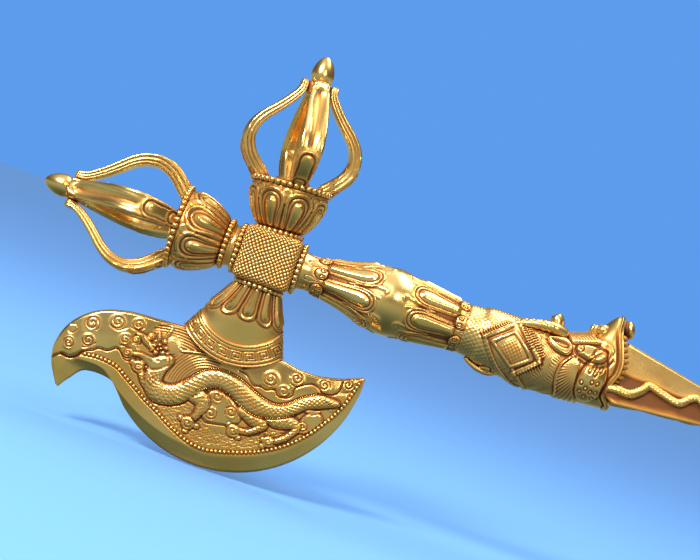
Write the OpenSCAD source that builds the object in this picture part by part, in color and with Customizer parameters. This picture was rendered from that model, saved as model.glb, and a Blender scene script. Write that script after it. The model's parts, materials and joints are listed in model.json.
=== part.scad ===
// Ritual axe with two vajra heads, an engraved blade and a three-edged dagger.
// +X runs along the handle to the dagger's point, +Z to the upper head, -Y to the front face.
// The origin is the centre of the hub block, where the handle and the axe cross.

/* [Hub] */
// Width of the woven hub block along the handle
hub_x = 29; // [24:1:34]
// Height of the woven hub block
hub_z = 27; // [25:1:32]
// Depth of the woven hub block between its flat faces
hub_y = 28; // [24:1:34]
// Radius of the hub block's rounded edges
hub_edge = 3; // [1.5:0.5:4]

/* [Bead rings] */
// Radius of the circle that the neck beads stand on
neck_ring_r = 11.8; // [11.6:0.2:13]
// Radius of one neck bead
neck_bead_r = 1.35; // [1.1:0.05:1.35]
// Number of neck beads in a ring
neck_beads = 26; // [18:1:26]
// Thickness of the washer behind the neck beads
neck_ring_w = 2.9; // [2.8:0.1:4.2]
// Radius of the circle that the rim beads stand on
rim_ring_r = 20.2; // [19.4:0.2:22]
// Radius of one rim bead
rim_bead_r = 1.45; // [1.1:0.05:1.5]
// Number of rim beads in a ring
rim_beads = 40; // [30:1:41]
// Width of the band behind the rim beads
rim_ring_w = 3; // [3:0.1:3.6]

/* [Vajra heads] */
// Height of the upper lotus bell, foot to middle of its rim beads
top_bell_h = 22.4; // [17:0.2:26]
// Height of the side lotus bell, foot to middle of its rim beads
side_bell_h = 23.8; // [18:0.2:27]
// Rise of the upper prongs above the rim beads
top_prong_h = 53.8; // [48:0.2:62]
// Rise of the side prongs above the rim beads
side_prong_h = 57.6; // [48:0.2:62]
// Greatest reach of a prong's middle line from the head's axis
prong_reach = 27.4; // [24:0.2:31]
// Greatest width of a prong
prong_w = 12; // [9:0.5:13]
// Thickness of a prong at its foot
prong_t = 7.2; // [5.5:0.2:7.6]
// Turn of the upper prongs about their head's axis
top_prong_turn = 11; // [-20:1:20]
// Turn of the side prongs about their head's axis
side_prong_turn = 8; // [-20:1:20]
// Lean of the upper head toward the side head
top_lean = 4; // [0:0.5:5]
// Shift of the upper head's axis at the hub's centre
top_shift = 1.4; // [0:0.2:2]
// Length of the pointed bud on each head
bud_h = 14; // [11:0.5:18]
// Greatest radius of the bud
bud_r = 5.75; // [5:0.25:7]
// Number of petals round a bell
bell_petals = 8; // [6:1:8]
// Height of the petals above the bell's wall
petal_rise = 0.9; // [0.5:0.1:1.3]

/* [Axe] */
// Thickness of the axe blade at its field
blade_t = 8; // [6:0.5:10]
// Thickness left at the cutting edge
edge_t = 1.4; // [0.8:0.2:2.4]
// Width of the bevel behind the cutting edge
bevel_w = 9; // [5:0.5:12]
// Length of the blade below its shoulder
blade_h = 64.5; // [56:0.5:74]
// Reach of the cutting edge to each side
blade_w = 66.5; // [60:0.5:74]
// Radius of the socket's rounded mouth
mouth_r = 35.2; // [34:0.2:40]
// Width of the fret band round the socket's mouth
fret_w = 10.6; // [7:0.2:14]
// Height of the fret band above the socket's wall
fret_rise = 0.6; // [0.3:0.1:1.2]
// Number of petals round the socket's neck
socket_petals = 11; // [8:1:11]
// Width of the blade's hidden tang
tang_w = 22; // [16:1:24]
// Thickness of the blade's hidden tang
tang_t = 6; // [4:0.5:7]
// Length of the blade's hidden tang
tang_h = 18; // [12:1:20]

/* [Handle] */
// Length of the grip between its bead ring and the beast's neck
grip_l = 86; // [76:1:100]
// Radius of the grip at its middle swell
grip_r = 17.3; // [15:0.3:20]
// Radius of the grip's waist beside the hub
waist_r = 9.2; // [8.5:0.1:10.4]
// Number of petals round each end of the grip
grip_petals = 7; // [5:1:8]

/* [Dagger] */
// Length of the beast's neck and head, up to the corner of its mouth
head_l = 74; // [66:1:84]
// Radius of the beast's head at the cheeks
head_r = 15.8; // [14:0.2:18]
// Length of the dagger blade, from the mouth's corner to its point
dagger_l = 107; // [90:1:150]
// Reach of the dagger's edges from its axis at the mouth
dagger_r = 22.8; // [18:0.2:25]
// Radius of a serpent's body
serpent_r = 2.4; // [2:0.1:3.2]

/* [Joints] */
// Radius of the spigots that hold the heads and the axe in the hub
spigot_r = 5; // [4:0.25:6]
// Depth that each spigot enters the hub
spigot_in = 8; // [6:0.5:9]
// Radius of the tie rod inside the handle
rod_r = 4; // [3:0.25:4.5]
// Length of the tie rod inside the beast's neck
rod_in = 20; // [12:1:26]
// Clearance between a spigot or rod and its hole
fit = 0.1; // [0.05:0.05:0.2]

/* [Hidden] */
$fn = 48;
gilt = [0.80, 0.62, 0.27];
deep_gilt = [0.66, 0.44, 0.16];
steel = [0.55, 0.55, 0.57];
eps = 0.01;

// Places along the handle and up the axe, each from the piece before it.
side_collar_w = 3.4;
side_foot = hub_x / 2 + 2 * neck_ring_w + side_collar_w;
top_seat = hub_z / 2 - 13.5 * sin(top_lean);
top_foot = top_seat + neck_ring_w;
grip_start = hub_x / 2 + neck_ring_w;
grip_end = grip_start + grip_l;
mouth_x = grip_end + head_l;
seat_x = mouth_x - 7;
axe_foot = -(hub_z / 2 + neck_ring_w);
hub_hole_in = spigot_in + 1;

// The bell's seat for its bead ring, and the plane that the prongs stand on.
rim_neck_r = rim_ring_r - rim_bead_r - 1.1;
rim_top = rim_ring_w / 2 + 0.1;
core_r = 4.2;
core_hole_in = 7;
bud_hole_in = 5;
bud_pin_r = 2;

// The socket and the blade under it.
shoulder_z = axe_foot - 28.8;
socket_x = -2.5;
mouth_z = shoulder_z - 11.1 + mouth_r;

// A smooth curve through points, with a number of steps between neighbours.
function between(a, b, c, d, t) =
    0.5 * (2 * b + (c - a) * t + (2 * a - 5 * b + 4 * c - d) * t * t + (3 * b - a - 3 * c + d) * t * t * t);
function smooth(p, steps) = [
    for (i = [0 : len(p) - 2])
        for (s = [0 : steps - 1])
            between(p[max(i - 1, 0)], p[i], p[i + 1], p[min(i + 2, len(p) - 1)], s / steps),
    p[len(p) - 1]
];
function unit(v) = v / norm(v);

// A closed skin over rings of equal length, each running anticlockwise about the way the rings advance.
module skin(rings) {
    n = len(rings[0]);
    last = (len(rings) - 1) * n;
    polyhedron(
        points = [for (r = rings) each r],
        faces = [
            [for (j = [0 : n - 1]) j],
            [for (j = [n - 1 : -1 : 0]) last + j],
            for (i = [0 : len(rings) - 2])
                for (j = [0 : n - 1])
                    let (a = i * n + j, b = i * n + (j + 1) % n)
                        each [[a, b + n, b], [a, a + n, b + n]]
        ]
    );
}

// A round bar through points, each with its own radius. The side vector is never parallel to the bar.
module bar(points, radii, side, sides = 8) {
    n = len(points);
    skin([
        for (i = [0 : n - 1])
            let (
                d = unit(points[min(i + 1, n - 1)] - points[max(i - 1, 0)]),
                v = unit(cross(d, side)),
                u = cross(v, d)
            )
                [for (j = [0 : sides - 1])
                    points[i] + radii[i] * (u * cos(j * 360 / sides) + v * sin(j * 360 / sides))]
    ]);
}

// Turns a piece made along +Z so that it points along the handle, to +X or to -X.
module along_x() rotate([0, 90, 0]) children();
module against_x() rotate([0, -90, 0]) children();

// A washer with a row of beads round it, centred on its own middle plane.
module bead_ring(ring_r, bead_r, beads, w, hole_r, band_r) {
    difference() {
        cylinder(r = band_r, h = w, center = true);
        cylinder(r = hole_r, h = w + 1, center = true);
    }
    for (i = [0 : beads - 1])
        rotate(i * 360 / beads)
            translate([ring_r, 0, 0]) sphere(r = bead_r);
}

module neck_ring(hole_r) color(gilt)
    bead_ring(neck_ring_r, neck_bead_r, neck_beads, neck_ring_w, hole_r + fit, neck_ring_r - 0.8);

module rim_ring() color(gilt)
    bead_ring(rim_ring_r, rim_bead_r, rim_beads, rim_ring_w, rim_neck_r + fit, rim_ring_r - 0.8);

// A drop-shaped petal outline, narrow at the bottom, with its round end at the top.
function petal_outline(w, h) = [
    for (a = [-30 : 15 : 210]) [w / 2 * cos(a), h - w / 2 + w / 2 * sin(a)],
    [-w * 0.26, 0],
    [w * 0.26, 0]
];

// A row of radial prisms with the petal's outline, standing round the Z axis.
module petal_prisms(count, w, h, start, turn) {
    for (i = [0 : count - 1])
        rotate(turn + i * 360 / count)
            translate([start, 0, 0]) rotate([90, 0, 90]) linear_extrude(30) polygon(petal_outline(w, h));
}

// The hub block: edges rounded along all three directions, with a hole in each of four sides.
module rounded_plate(a, b, h) {
    linear_extrude(h, center = true) {
        square([a - 2 * hub_edge, b], center = true);
        square([a, b - 2 * hub_edge], center = true);
        for (x = [-1, 1], y = [-1, 1])
            translate([x * (a / 2 - hub_edge), y * (b / 2 - hub_edge)]) circle(r = hub_edge);
    }
}

module hub_block() color(deep_gilt) difference() {
    intersection() {
        rounded_plate(hub_x, hub_y, hub_z + 1);
        rotate([90, 0, 0]) rounded_plate(hub_x, hub_z, hub_y + 1);
        rotate([0, 90, 0]) rounded_plate(hub_z, hub_y, hub_x + 1);
        cube([hub_x, hub_y, hub_z], center = true);
    }
    rotate([0, 180, 0])
        translate([0, 0, hub_z / 2 - hub_hole_in]) cylinder(r = spigot_r + fit, h = hub_hole_in + 1);
    // The upper head's hole, and the leaning seat that is faced for its beads
    top_head(-neck_ring_w) {
        translate([0, 0, -hub_hole_in]) cylinder(r = spigot_r + fit, h = hub_hole_in + 1);
        cylinder(r = 14.6, h = 6);
    }
    rotate([0, -90, 0])
        translate([0, 0, hub_x / 2 - hub_hole_in]) cylinder(r = spigot_r + fit, h = hub_hole_in + 1);
    rotate([0, 90, 0])
        translate([0, 0, hub_x / 2 - hub_hole_in]) cylinder(r = rod_r + fit, h = hub_hole_in + 1);
}

// A lotus bell, from its foot at z = 0 to its rim. The spigot reaches down through the bead rings.
function bell_wall(h, out) = smooth([
    [11.2 + out, 0], [13.6 + out, 2.2], [17.2 + out, h * 0.36], [19 + out, h * 0.62],
    [19.6 + out, h - 4], [rim_ring_r - 0.6 + out, h - rim_top]
], 3);

module bell_body(h, out) {
    rotate_extrude()
        polygon([[0, 0], each bell_wall(h, out), [0, h - rim_top]]);
}

module bell(h, spigot_l) color(gilt) {
    difference() {
        union() {
            bell_body(h, 0);
            intersection() {
                bell_body(h, petal_rise);
                translate([0, 0, 1]) petal_prisms(bell_petals, 11.4, h - 5.7, 8, 180 / bell_petals);
            }
            cylinder(r = rim_neck_r, h = h + rim_top);
            translate([0, 0, -spigot_l]) cylinder(r = spigot_r, h = spigot_l + 1);
        }
        translate([0, 0, h + rim_top - core_hole_in]) cylinder(r = core_r - 1 + fit, h = core_hole_in + 1);
    }
}

// One outer prong: it springs from the rim, bows out and closes in under the bud.
function prong_line(h) = smooth([
    [prong_reach * 0.585, rim_top], [prong_reach * 0.76, h * 0.115], [prong_reach * 0.9, h * 0.2],
    [prong_reach * 0.98, h * 0.29], [prong_reach, h * 0.37], [prong_reach * 0.95, h * 0.475],
    [prong_reach * 0.83, h * 0.57], [prong_reach * 0.66, h * 0.66], [prong_reach * 0.49, h * 0.755],
    [prong_reach * 0.35, h * 0.85], [prong_reach * 0.285, h * 0.92], [prong_reach * 0.285, h]
], 2);

function prong_wide(t) = prong_w * (0.72 + 0.28 * sin(180 * min(1, t * 1.05)));
function prong_thick(t) = prong_t * (1 - 0.52 * t);

// The section, as width and depth shares: a flat outer face with a rim, and a narrower inner side.
prong_section = [
    [-0.5, 0.26], [-0.42, 0.5], [-0.3, 0.42], [0.3, 0.42], [0.42, 0.5], [0.5, 0.26],
    [0.38, 0.06], [0.3, -0.42], [0.16, -0.5], [-0.16, -0.5], [-0.3, -0.42], [-0.38, 0.06]
];

module prong(h, turn) {
    line = prong_line(h);
    n = len(line);
    rings = [
        for (i = [0 : n - 1])
            let (
                t = i / (n - 1),
                ahead = line[min(i + 1, n - 1)],
                back = line[max(i - 1, 0)],
                dir = i == 0 ? [0, 1] : unit(ahead - back),
                out = [dir[1], -dir[0]]
            )
                [for (s = prong_section)
                    [
                        line[i][0] + out[0] * s[1] * prong_thick(t),
                        s[0] * prong_wide(t),
                        line[i][1] + out[1] * s[1] * prong_thick(t)
                    ]]
    ];
    color(gilt) rotate(turn) skin(rings);
}

// The middle prong of a head, with the moon disc at its foot, the seat for the prong tips and the bud's pin.
module core(h) color(deep_gilt) {
    seat_r = prong_reach * 0.285 - prong_t * 0.24 - 0.3;
    rotate_extrude() polygon([
        [0, rim_top - core_hole_in + 0.5], [core_r - 1, rim_top - core_hole_in + 0.5], [core_r - 1, rim_top],
        [8.4, rim_top], [9, rim_top + 0.8], [8.2, rim_top + 1.8], [3.6, rim_top + 2.4],
        each smooth([[2.6, rim_top + 3], [3.5, h * 0.35], [3.2, h * 0.6], [2.7, h * 0.8], [seat_r - 0.8, h * 0.87]], 3),
        [seat_r, h * 0.89], [seat_r, h - 0.6], [bud_pin_r, h - 0.6],
        [bud_pin_r, h - 0.6 + bud_hole_in - 0.5], [0, h - 0.6 + bud_hole_in - 0.5]
    ]);
}

module bud(h) color(gilt) translate([0, 0, h - 0.5]) difference() {
    rotate_extrude() polygon([
        [0, 0],
        each smooth([
            [bud_r * 0.8, 0], [bud_r * 0.98, bud_h * 0.2], [bud_r, bud_h * 0.36], [bud_r * 0.88, bud_h * 0.58],
            [bud_r * 0.62, bud_h * 0.8], [bud_r * 0.28, bud_h * 0.95]
        ], 3),
        [0, bud_h]
    ]);
    translate([0, 0, -1]) cylinder(r = bud_pin_r + fit, h = bud_hole_in + 1);
}

// Places a head's pieces: the side head points to -X, the upper head to +Z.
module side_head(h) translate([-side_foot - h, 0, 0]) against_x() children();
module top_head(h) translate([top_shift, 0, 0]) rotate([0, -top_lean, 0]) translate([0, 0, top_foot + h]) children();

module side_inner_beads() translate([-(hub_x + neck_ring_w) / 2, 0, 0]) along_x() neck_ring(spigot_r);
module side_outer_beads() translate([-side_foot + neck_ring_w / 2, 0, 0]) along_x() neck_ring(spigot_r);
module top_beads() top_head(-neck_ring_w / 2) neck_ring(spigot_r);
module axe_beads() translate([0, 0, -(hub_z + neck_ring_w) / 2]) neck_ring(spigot_r);
module grip_beads() translate([(hub_x + neck_ring_w) / 2, 0, 0]) along_x() neck_ring(rod_r);

// The waisted collar between the two bead rings of the side head.
module side_collar() color(gilt)
    translate([-(hub_x / 2 + neck_ring_w), 0, 0]) against_x() difference() {
        rotate_extrude() polygon([
            [0, 0],
            each smooth([[11.3, 0], [10.5, side_collar_w / 2], [11.3, side_collar_w]], 4),
            [0, side_collar_w]
        ]);
        translate([0, 0, -1]) cylinder(r = spigot_r + fit, h = side_collar_w + 2);
    }

module side_bell() side_head(0) bell(side_bell_h, side_foot - hub_x / 2 + spigot_in);
module side_rim_beads() side_head(side_bell_h) rim_ring();
module side_core() side_head(side_bell_h) core(side_prong_h);
module side_bud() side_head(side_bell_h) bud(side_prong_h);
module side_prong(quarter) side_head(side_bell_h) prong(side_prong_h, side_prong_turn + quarter * 90);

module top_bell() top_head(0) bell(top_bell_h, neck_ring_w + spigot_in);
module top_rim_beads() top_head(top_bell_h) rim_ring();
module top_core() top_head(top_bell_h) core(top_prong_h);
module top_bud() top_head(top_bell_h) bud(top_prong_h);
module top_prong(quarter) top_head(top_bell_h) prong(top_prong_h, top_prong_turn + quarter * 90);

// The axe's socket: a fan that grows from the round neck to a wide saddle over the blade.
socket_steps = [
    [0, 11.3, 11], [0.25, 15, 11], [0.5, 19.2, 10.4], [0.75, 22.6, 9.6], [1, 25.7, 8.8], [1.5, 31.6, 7.6]
];

function socket_ring(s, out) = let (z = axe_foot + (shoulder_z - axe_foot) * s[0], x = socket_x * min(1, s[0])) [
    for (a = [345 : -15 : 0]) [x + (s[1] + out) * cos(a), (s[2] + out) * sin(a), z]
];

module socket_fan(out) skin([for (s = smooth(socket_steps, 2)) socket_ring(s, out)]);

module mouth_disc(r, h) translate([socket_x, 0, mouth_z]) rotate([90, 0, 0]) cylinder(r = r, h = h, center = true);

module axe_socket() color(gilt) {
    difference() {
        union() {
            intersection() {
                socket_fan(0);
                mouth_disc(mouth_r, 60);
            }
            intersection() {
                socket_fan(fret_rise);
                difference() {
                    mouth_disc(mouth_r, 60);
                    mouth_disc(mouth_r - fret_w, 61);
                    translate([-50, -50, shoulder_z + 10]) cube([100, 100, 60]);
                }
            }
            intersection() {
                socket_fan(petal_rise);
                translate([0, 0, axe_foot]) mirror([0, 0, 1])
                    petal_prisms(socket_petals, 6.2, 15.6, 7, 360 / socket_petals * 0.19);
            }
            cylinder_down(axe_foot, spigot_r, neck_ring_w + spigot_in);
        }
        translate([-60, -blade_t / 2 - fit, shoulder_z - 40]) cube([120, blade_t + 2 * fit, 40 + fit]);
        translate([socket_x - tang_w / 2 - fit, -tang_t / 2 - fit, shoulder_z])
            cube([tang_w + 2 * fit, tang_t + 2 * fit, tang_h + 0.5]);
    }
}

// A spigot that rises from a plane under the hub into the hub's lower hole.
module cylinder_down(z, r, l) translate([0, 0, z - 1]) cylinder(r = r, h = l + 1);

// The cutting edge: the beak's inner side, then one long arc to the right-hand horn.
// Places are shares of the blade's half width, and of its height below the shoulder.
arc_drop = 2;
beak_edge = [[-1.17, 0.78], [-1.11, 0.69], [-1.01, 0.59]];
blade_back = [
    [-1.2, 0.76], [-1.28, 0.61], [-1.3, 0.46], [-1.24, 0.28], [-1.09, 0.13], [-0.87, 0.05], [-0.6, 0.025],
    [-0.3, 0.005], [0, 0], [0.3, 0], [0.51, 0.03], [0.66, 0.025], [0.81, -0.01], [0.91, -0.05], [0.97, -0.075]
];
arc_angles = [-52, -40, -27, -13, 1, 15, 29, 43, 57, 71, 84, 92];
function blade_place(p) = [p[0] * blade_w, shoulder_z - p[1] * blade_h];
function arc_place(a) = [-0.5 + blade_w * sin(a), shoulder_z + arc_drop - (blade_h + arc_drop) * cos(a)];

// One section across the blade, from the cutting edge to the back and round again.
function blade_ring(edge, back) = let (
    way = back - edge,
    wide = norm(way),
    b = edge + way * min(0.5, bevel_w / wide),
    m = edge + way * 0.75,
    full = blade_t / 2 * min(1, 0.35 + wide / 40)
) [
    [edge[0], edge_t / 2, edge[1]], [b[0], full * 0.92, b[1]], [m[0], full, m[1]],
    [back[0], full * 0.72, back[1]], [back[0], -full * 0.72, back[1]], [m[0], -full, m[1]],
    [b[0], -full * 0.92, b[1]], [edge[0], -edge_t / 2, edge[1]]
];

// The blade's relief is drawn on a sheet that is turned against the blade, and grows with the blade.
sheet_turn = 19.64;
blade_sheet = 0.1244;
function on_blade(p) = [
    (-98.5 + blade_sheet * (cos(sheet_turn) * p[0] + sin(sheet_turn) * p[1])) * blade_w / 66.5,
    shoulder_z + (-9.3 + blade_sheet * (sin(sheet_turn) * p[0] - cos(sheet_turn) * p[1])) * blade_h / 64.5
];

// A rounded ridge along a drawn line, on both faces. Its half widths are in the sheet's own steps.
relief_section = [[-0.45, 1, 0], [0.45, 1, 0], [0.95, 0.35, 0], [0.85, 0, 1], [-0.85, 0, 1], [-0.95, 0.35, 0]];
module relief(path, half, rise, steps = 1) {
    line = smooth([for (p = path) on_blade(p)], steps);
    wide = smooth([for (w = half) [w, 0]], steps);
    n = len(line);
    for (hand = [-1, 1])
        skin([
            for (i = [0 : n - 1])
                let (d = unit(line[min(i + 1, n - 1)] - line[max(i - 1, 0)]), w = wide[i][0] * blade_sheet * blade_w / 66.5)
                    [for (k = [0 : 5])
                        let (s = relief_section[hand > 0 ? k : 5 - k])
                            [line[i][0] - d[1] * s[0] * w, hand * (blade_t / 2 + s[1] * rise - s[2] * 1.3),
                                line[i][1] + d[0] * s[0] * w]]
        ]);
}

// The dragon: its body, then its legs, each from the shoulder to the claw.
dragon_body = [
    [462, 292], [440, 340], [466, 384], [524, 396], [590, 366], [645, 338], [702, 338], [760, 368], [812, 418],
    [862, 450], [920, 466], [980, 458], [1040, 434], [1100, 428], [1160, 434]
];
dragon_half = [26, 32, 34, 36, 34, 34, 34, 36, 38, 35, 29, 26, 25, 24, 12];
pearl_row = [
    [160, 236], [215, 250], [290, 290], [345, 355], [400, 420], [480, 505], [560, 580], [610, 610], [690, 627],
    [790, 631], [900, 620], [1000, 588], [1110, 520], [1200, 440], [1255, 362]
];
module dragon() {
    relief(dragon_body, dragon_half, 1.3, 2);
    relief([[596, 392], [632, 430], [612, 470], [572, 508]], [28, 26, 18, 22], 1.05);
    relief([[812, 470], [838, 500], [868, 524], [812, 548], [756, 543]], [22, 22, 16, 13, 20], 1.05);
    relief([[905, 476], [930, 500], [988, 514], [1000, 538], [960, 572], [892, 594]], [24, 26, 18, 14, 12, 14], 1.05);
    relief([[446, 384], [410, 354], [390, 318], [374, 288]], [24, 20, 14, 20], 1.05);
    relief([[500, 240], [462, 214], [428, 198], [396, 196]], [20, 28, 20, 12], 1.15);
    relief([[470, 262], [430, 246], [388, 238], [350, 241]], [14, 13, 11, 8], 0.9);
}

// The cloud bank behind the beak, with scallops along its lower side, and the puffs among the legs.
cloud_bank = [
    [70, 222], [100, 236], [150, 218], [190, 214], [215, 206], [250, 216], [288, 206], [310, 234], [332, 246],
    [354, 228], [366, 190], [352, 170], [378, 148], [402, 160], [428, 138], [452, 122], [380, 108], [290, 88],
    [220, 82], [160, 92], [110, 118], [78, 160]
];
cloud_puffs = [
    [[640, 512], [622, 470], [642, 400], [684, 376], [722, 392], [762, 430], [786, 482], [750, 522]],
    [[1004, 550], [1008, 520], [1044, 480], [1084, 470], [1106, 490], [1100, 518], [1056, 548]]
];
module cloud(path, rise)
    rotate([90, 0, 0]) linear_extrude(blade_t + 2 * rise, center = true) polygon([for (p = path) on_blade(p)]);

module axe_blade() color(gilt) {
    dragon();
    relief(pearl_row, [for (p = pearl_row) 7.6], 0.7);
    cloud(cloud_bank, 0.42);
    for (puff = cloud_puffs) cloud(puff, 0.46);
    edge = smooth([for (p = beak_edge) blade_place(p), for (a = arc_angles) arc_place(a)], 3);
    back = smooth([for (p = blade_back) blade_place(p)], 3);
    skin([for (i = [0 : len(edge) - 1]) blade_ring(edge[i], back[i])]);
    translate([socket_x - tang_w / 2, -tang_t / 2, shoulder_z - 3]) cube([tang_w, tang_t, tang_h + 3]);
}

// The grip: a waist beside the hub, a round swell and a long taper to the beast's neck.
function grip_wall(out) = smooth([
    [waist_r + 0.6 + out, 0], [waist_r - 0.2 + out, grip_l * 0.055], [waist_r + 0.3 + out, grip_l * 0.13],
    [grip_r * 0.64 + out, grip_l * 0.25], [grip_r * 0.86 + out, grip_l * 0.4], [grip_r * 0.975 + out, grip_l * 0.5],
    [grip_r + out, grip_l * 0.57], [grip_r * 0.91 + out, grip_l * 0.66], [grip_r * 0.82 + out, grip_l * 0.78],
    [grip_r * 0.71 + out, grip_l * 0.94], [grip_r * 0.7 + out, grip_l]
], 3);

module grip_body(out) rotate_extrude() polygon([[0, 0], each grip_wall(out), [0, grip_l]]);

module grip() color(gilt) translate([grip_start, 0, 0]) along_x() difference() {
    union() {
        grip_body(0);
        intersection() {
            grip_body(petal_rise);
            union() {
                translate([0, 0, grip_l * 0.15]) petal_prisms(grip_petals, 9, grip_l * 0.32, 6, 0);
                translate([0, 0, grip_l * 0.95]) mirror([0, 0, 1])
                    petal_prisms(grip_petals, 9.6, grip_l * 0.3, 6, 0);
            }
        }
    }
    translate([0, 0, -1]) cylinder(r = rod_r + fit, h = grip_l + 2);
}

module tie_rod() color(steel)
    translate([hub_x / 2 - spigot_in, 0, 0]) along_x()
        cylinder(r = rod_r, h = spigot_in + neck_ring_w + grip_l + rod_in);

// The beast's neck and head, as stations along it: share of its length, upper reach, lower reach, half width.
head_steps = [
    [0, 12.1, 12.1, 12.1], [0.09, 12.6, 12.8, 12.4], [0.15, 14, 14.4, 14], [0.3, 14.2, 16.2, 15.4],
    [0.5, 13.8, 17.8, 16], [0.62, 13.6, 17.6, 16], [0.7, 14.8, 17.2, 16], [0.78, 17, 16.6, 15.6],
    [0.84, 20.4, 16.2, 15.2], [0.9, 25.2, 15.6, 14.6], [0.96, 29.6, 15, 14], [1, 31, 14.6, 13.6]
];

function head_ring(s) = [
    for (a = [0 : 18 : 342])
        [grip_end + head_l * s[0], s[3] * cos(a) * head_r / 15.8, (sin(a) > 0 ? s[1] : s[2]) * sin(a) * head_r / 15.8]
];

// A knob stretched between two centres.
module knob(p, q, r, r2) hull() {
    translate(p) sphere(r = r, $fn = 14);
    translate(q) sphere(r = r2, $fn = 10);
}

// The head's relief is drawn on a sheet too, and lies on the head's side.
head_sheet = 0.0828;
function head_reach(x, k) = lookup((x - grip_end) / head_l, [for (s = head_steps) [s[0], s[k]]]) * head_r / 15.8;
function on_head(p) = let (
    x = grip_end + (-9.8 + head_sheet * (cos(sheet_turn) * p[0] + sin(sheet_turn) * p[1])) * head_l / 74,
    z = (14.1 + head_sheet * (sin(sheet_turn) * p[0] - cos(sheet_turn) * p[1])) * head_r / 15.8
) [x, -head_reach(x, 3) * sqrt(max(0.02, 1 - pow(z / head_reach(x, z > 0 ? 1 : 2), 2))), z];
module head_bar(path, r) bar([for (p = path) on_head(p)], [for (p = path) r], [0.3, 1, 0.2], 6);

// The double lozenge frame on the neck, the band that crosses under it, and the ridge of the mane.
head_frame = [
    [[168, 243], [258, 212], [330, 186]], [[390, 190], [440, 290], [494, 392]], [[494, 394], [420, 432], [340, 462]],
    [[168, 246], [205, 330], [240, 405], [300, 490], [376, 556]], [[338, 440], [372, 500], [418, 560]],
    [[216, 272], [284, 246], [352, 220]], [[352, 220], [400, 300], [446, 380]], [[446, 380], [384, 402], [322, 424]],
    [[216, 272], [262, 350], [322, 424]]
];
mane_ridge = [[700, 360], [640, 392], [606, 440], [590, 510], [594, 576]];

module head_side() {
    for (path = head_frame) head_bar(path, 1.35);
    head_bar(mane_ridge, 1.3);
    x = grip_end;
    l = head_l;
    // The horn that lies back along the crown
    bar([[x + l * 0.7, -5, 15.4], [x + l * 0.6, -7.4, 16], [x + l * 0.46, -9.6, 14.8], [x + l * 0.3, -10, 13.4],
        [x + l * 0.2, -9.4, 12.4]], [2.6, 3.2, 2.9, 2.1, 0.9], [0, 0, 1]);
    // The ear
    knob([x + l * 0.6, -13.4, 6], [x + l * 0.42, -13, 7.8], 3.4, 1.3);
    // The brow over the eye
    bar([[x + l * 0.62, -12.8, 8], [x + l * 0.7, -13.4, 10.4], [x + l * 0.82, -13.2, 12.6],
        [x + l * 0.92, -11.4, 13.8]], [1.4, 2.4, 2.6, 1.4], [0, 1, 0.2]);
    translate([x + l * 0.85, -12.6, 7.6]) sphere(r = 3.6, $fn = 14);
    // The round cheek
    knob([x + l * 0.9, -10.4, -3.6], [x + l * 0.86, -9, -7.6], 6.4, 6);
    // The nostril
    translate([x + l * 0.85, -4.9, 19.4]) sphere(r = 3.4, $fn = 12);
    // The lip that runs from the snout down to the lower jaw
    bar([[x + l * 1.02, -2.4, 30.4], [x + l * 1.02, -7, 26.6], [x + l * 1.01, -10.6, 21], [x + l * 1.01, -13, 14],
        [x + l * 1.02, -14, 6], [x + l * 1.0, -14, -1], [x + l * 0.97, -13, -7.4], [x + l * 0.97, -8, -12.4]],
        [2, 2.1, 2, 1.8, 1.8, 1.8, 1.8, 1.6], [1, 0, 0]);
}

module beast_head() color(gilt) difference() {
    union() {
        skin([for (s = head_steps) head_ring(s)]);
        head_side();
        mirror([0, 1, 0]) head_side();
        // The single horn on the crown
        knob([grip_end + head_l * 0.62, 0, 13], [grip_end + head_l * 0.59, 0, 21.4], 4.8, 1.4);
        // The rolled tip of the snout
        knob([grip_end + head_l * 1.06, -2.6, 26.4], [grip_end + head_l * 1.06, 2.6, 26.4], 3.2, 3.2);
    }
    // The dagger's seat, cut back into the mouth
    skin([for (x = [seat_x, mouth_x + 30]) dagger_ring(x, dagger_r * root_share + fit)]);
    translate([grip_end - 1, 0, 0]) along_x() cylinder(r = rod_r + fit, h = rod_in + 1.5);
}

// The dagger's section: three edges, and faces that fold in a little at their middle.
face_in = 0.38;
function dagger_ring(x, r) = [
    for (k = [5 : -1 : 0])
        let (reach = k % 2 == 0 ? r : face_in * r)
            [x, reach * sin(60 * k), reach * cos(60 * k)]
];
root_share = 0.6;
function dagger_reach(x) = let (t = (x - mouth_x) / dagger_l, swell = min(1, max(0, x - mouth_x - 0.5) / 7.5))
    dagger_r * (root_share + (1 - root_share) * sin(90 * swell)) * max(0.02, (1 - t) * (1 + 0.04 * t));

// One serpent winds along each face: how far it is from the face's middle, by how far it is from the mouth.
serpent_way = [
    [-1.5, -8.6], [5.6, -9.4], [13, -9.4], [18.6, -4.6], [22.3, -0.2], [30, -1.8], [38.4, -3.2], [43.6, 1.6],
    [48, 3.2], [54, -0.6], [60, -2.6], [66, 0.8], [72, 1.4], [78, -0.8], [84, -0.6], [89, 0.3]
];
function serpent_at(p, turn) = let (
    x = mouth_x + p[0] * dagger_l / 107,
    side = p[1] * dagger_r / 22.8,
    r = dagger_reach(x),
    deep = r * (face_in + (0.5 - face_in) * abs(side) / (sin(60) * r)) + serpent_r * 0.3
) [x, sin(turn) * deep + cos(turn) * side, cos(turn) * deep - sin(turn) * side];

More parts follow.
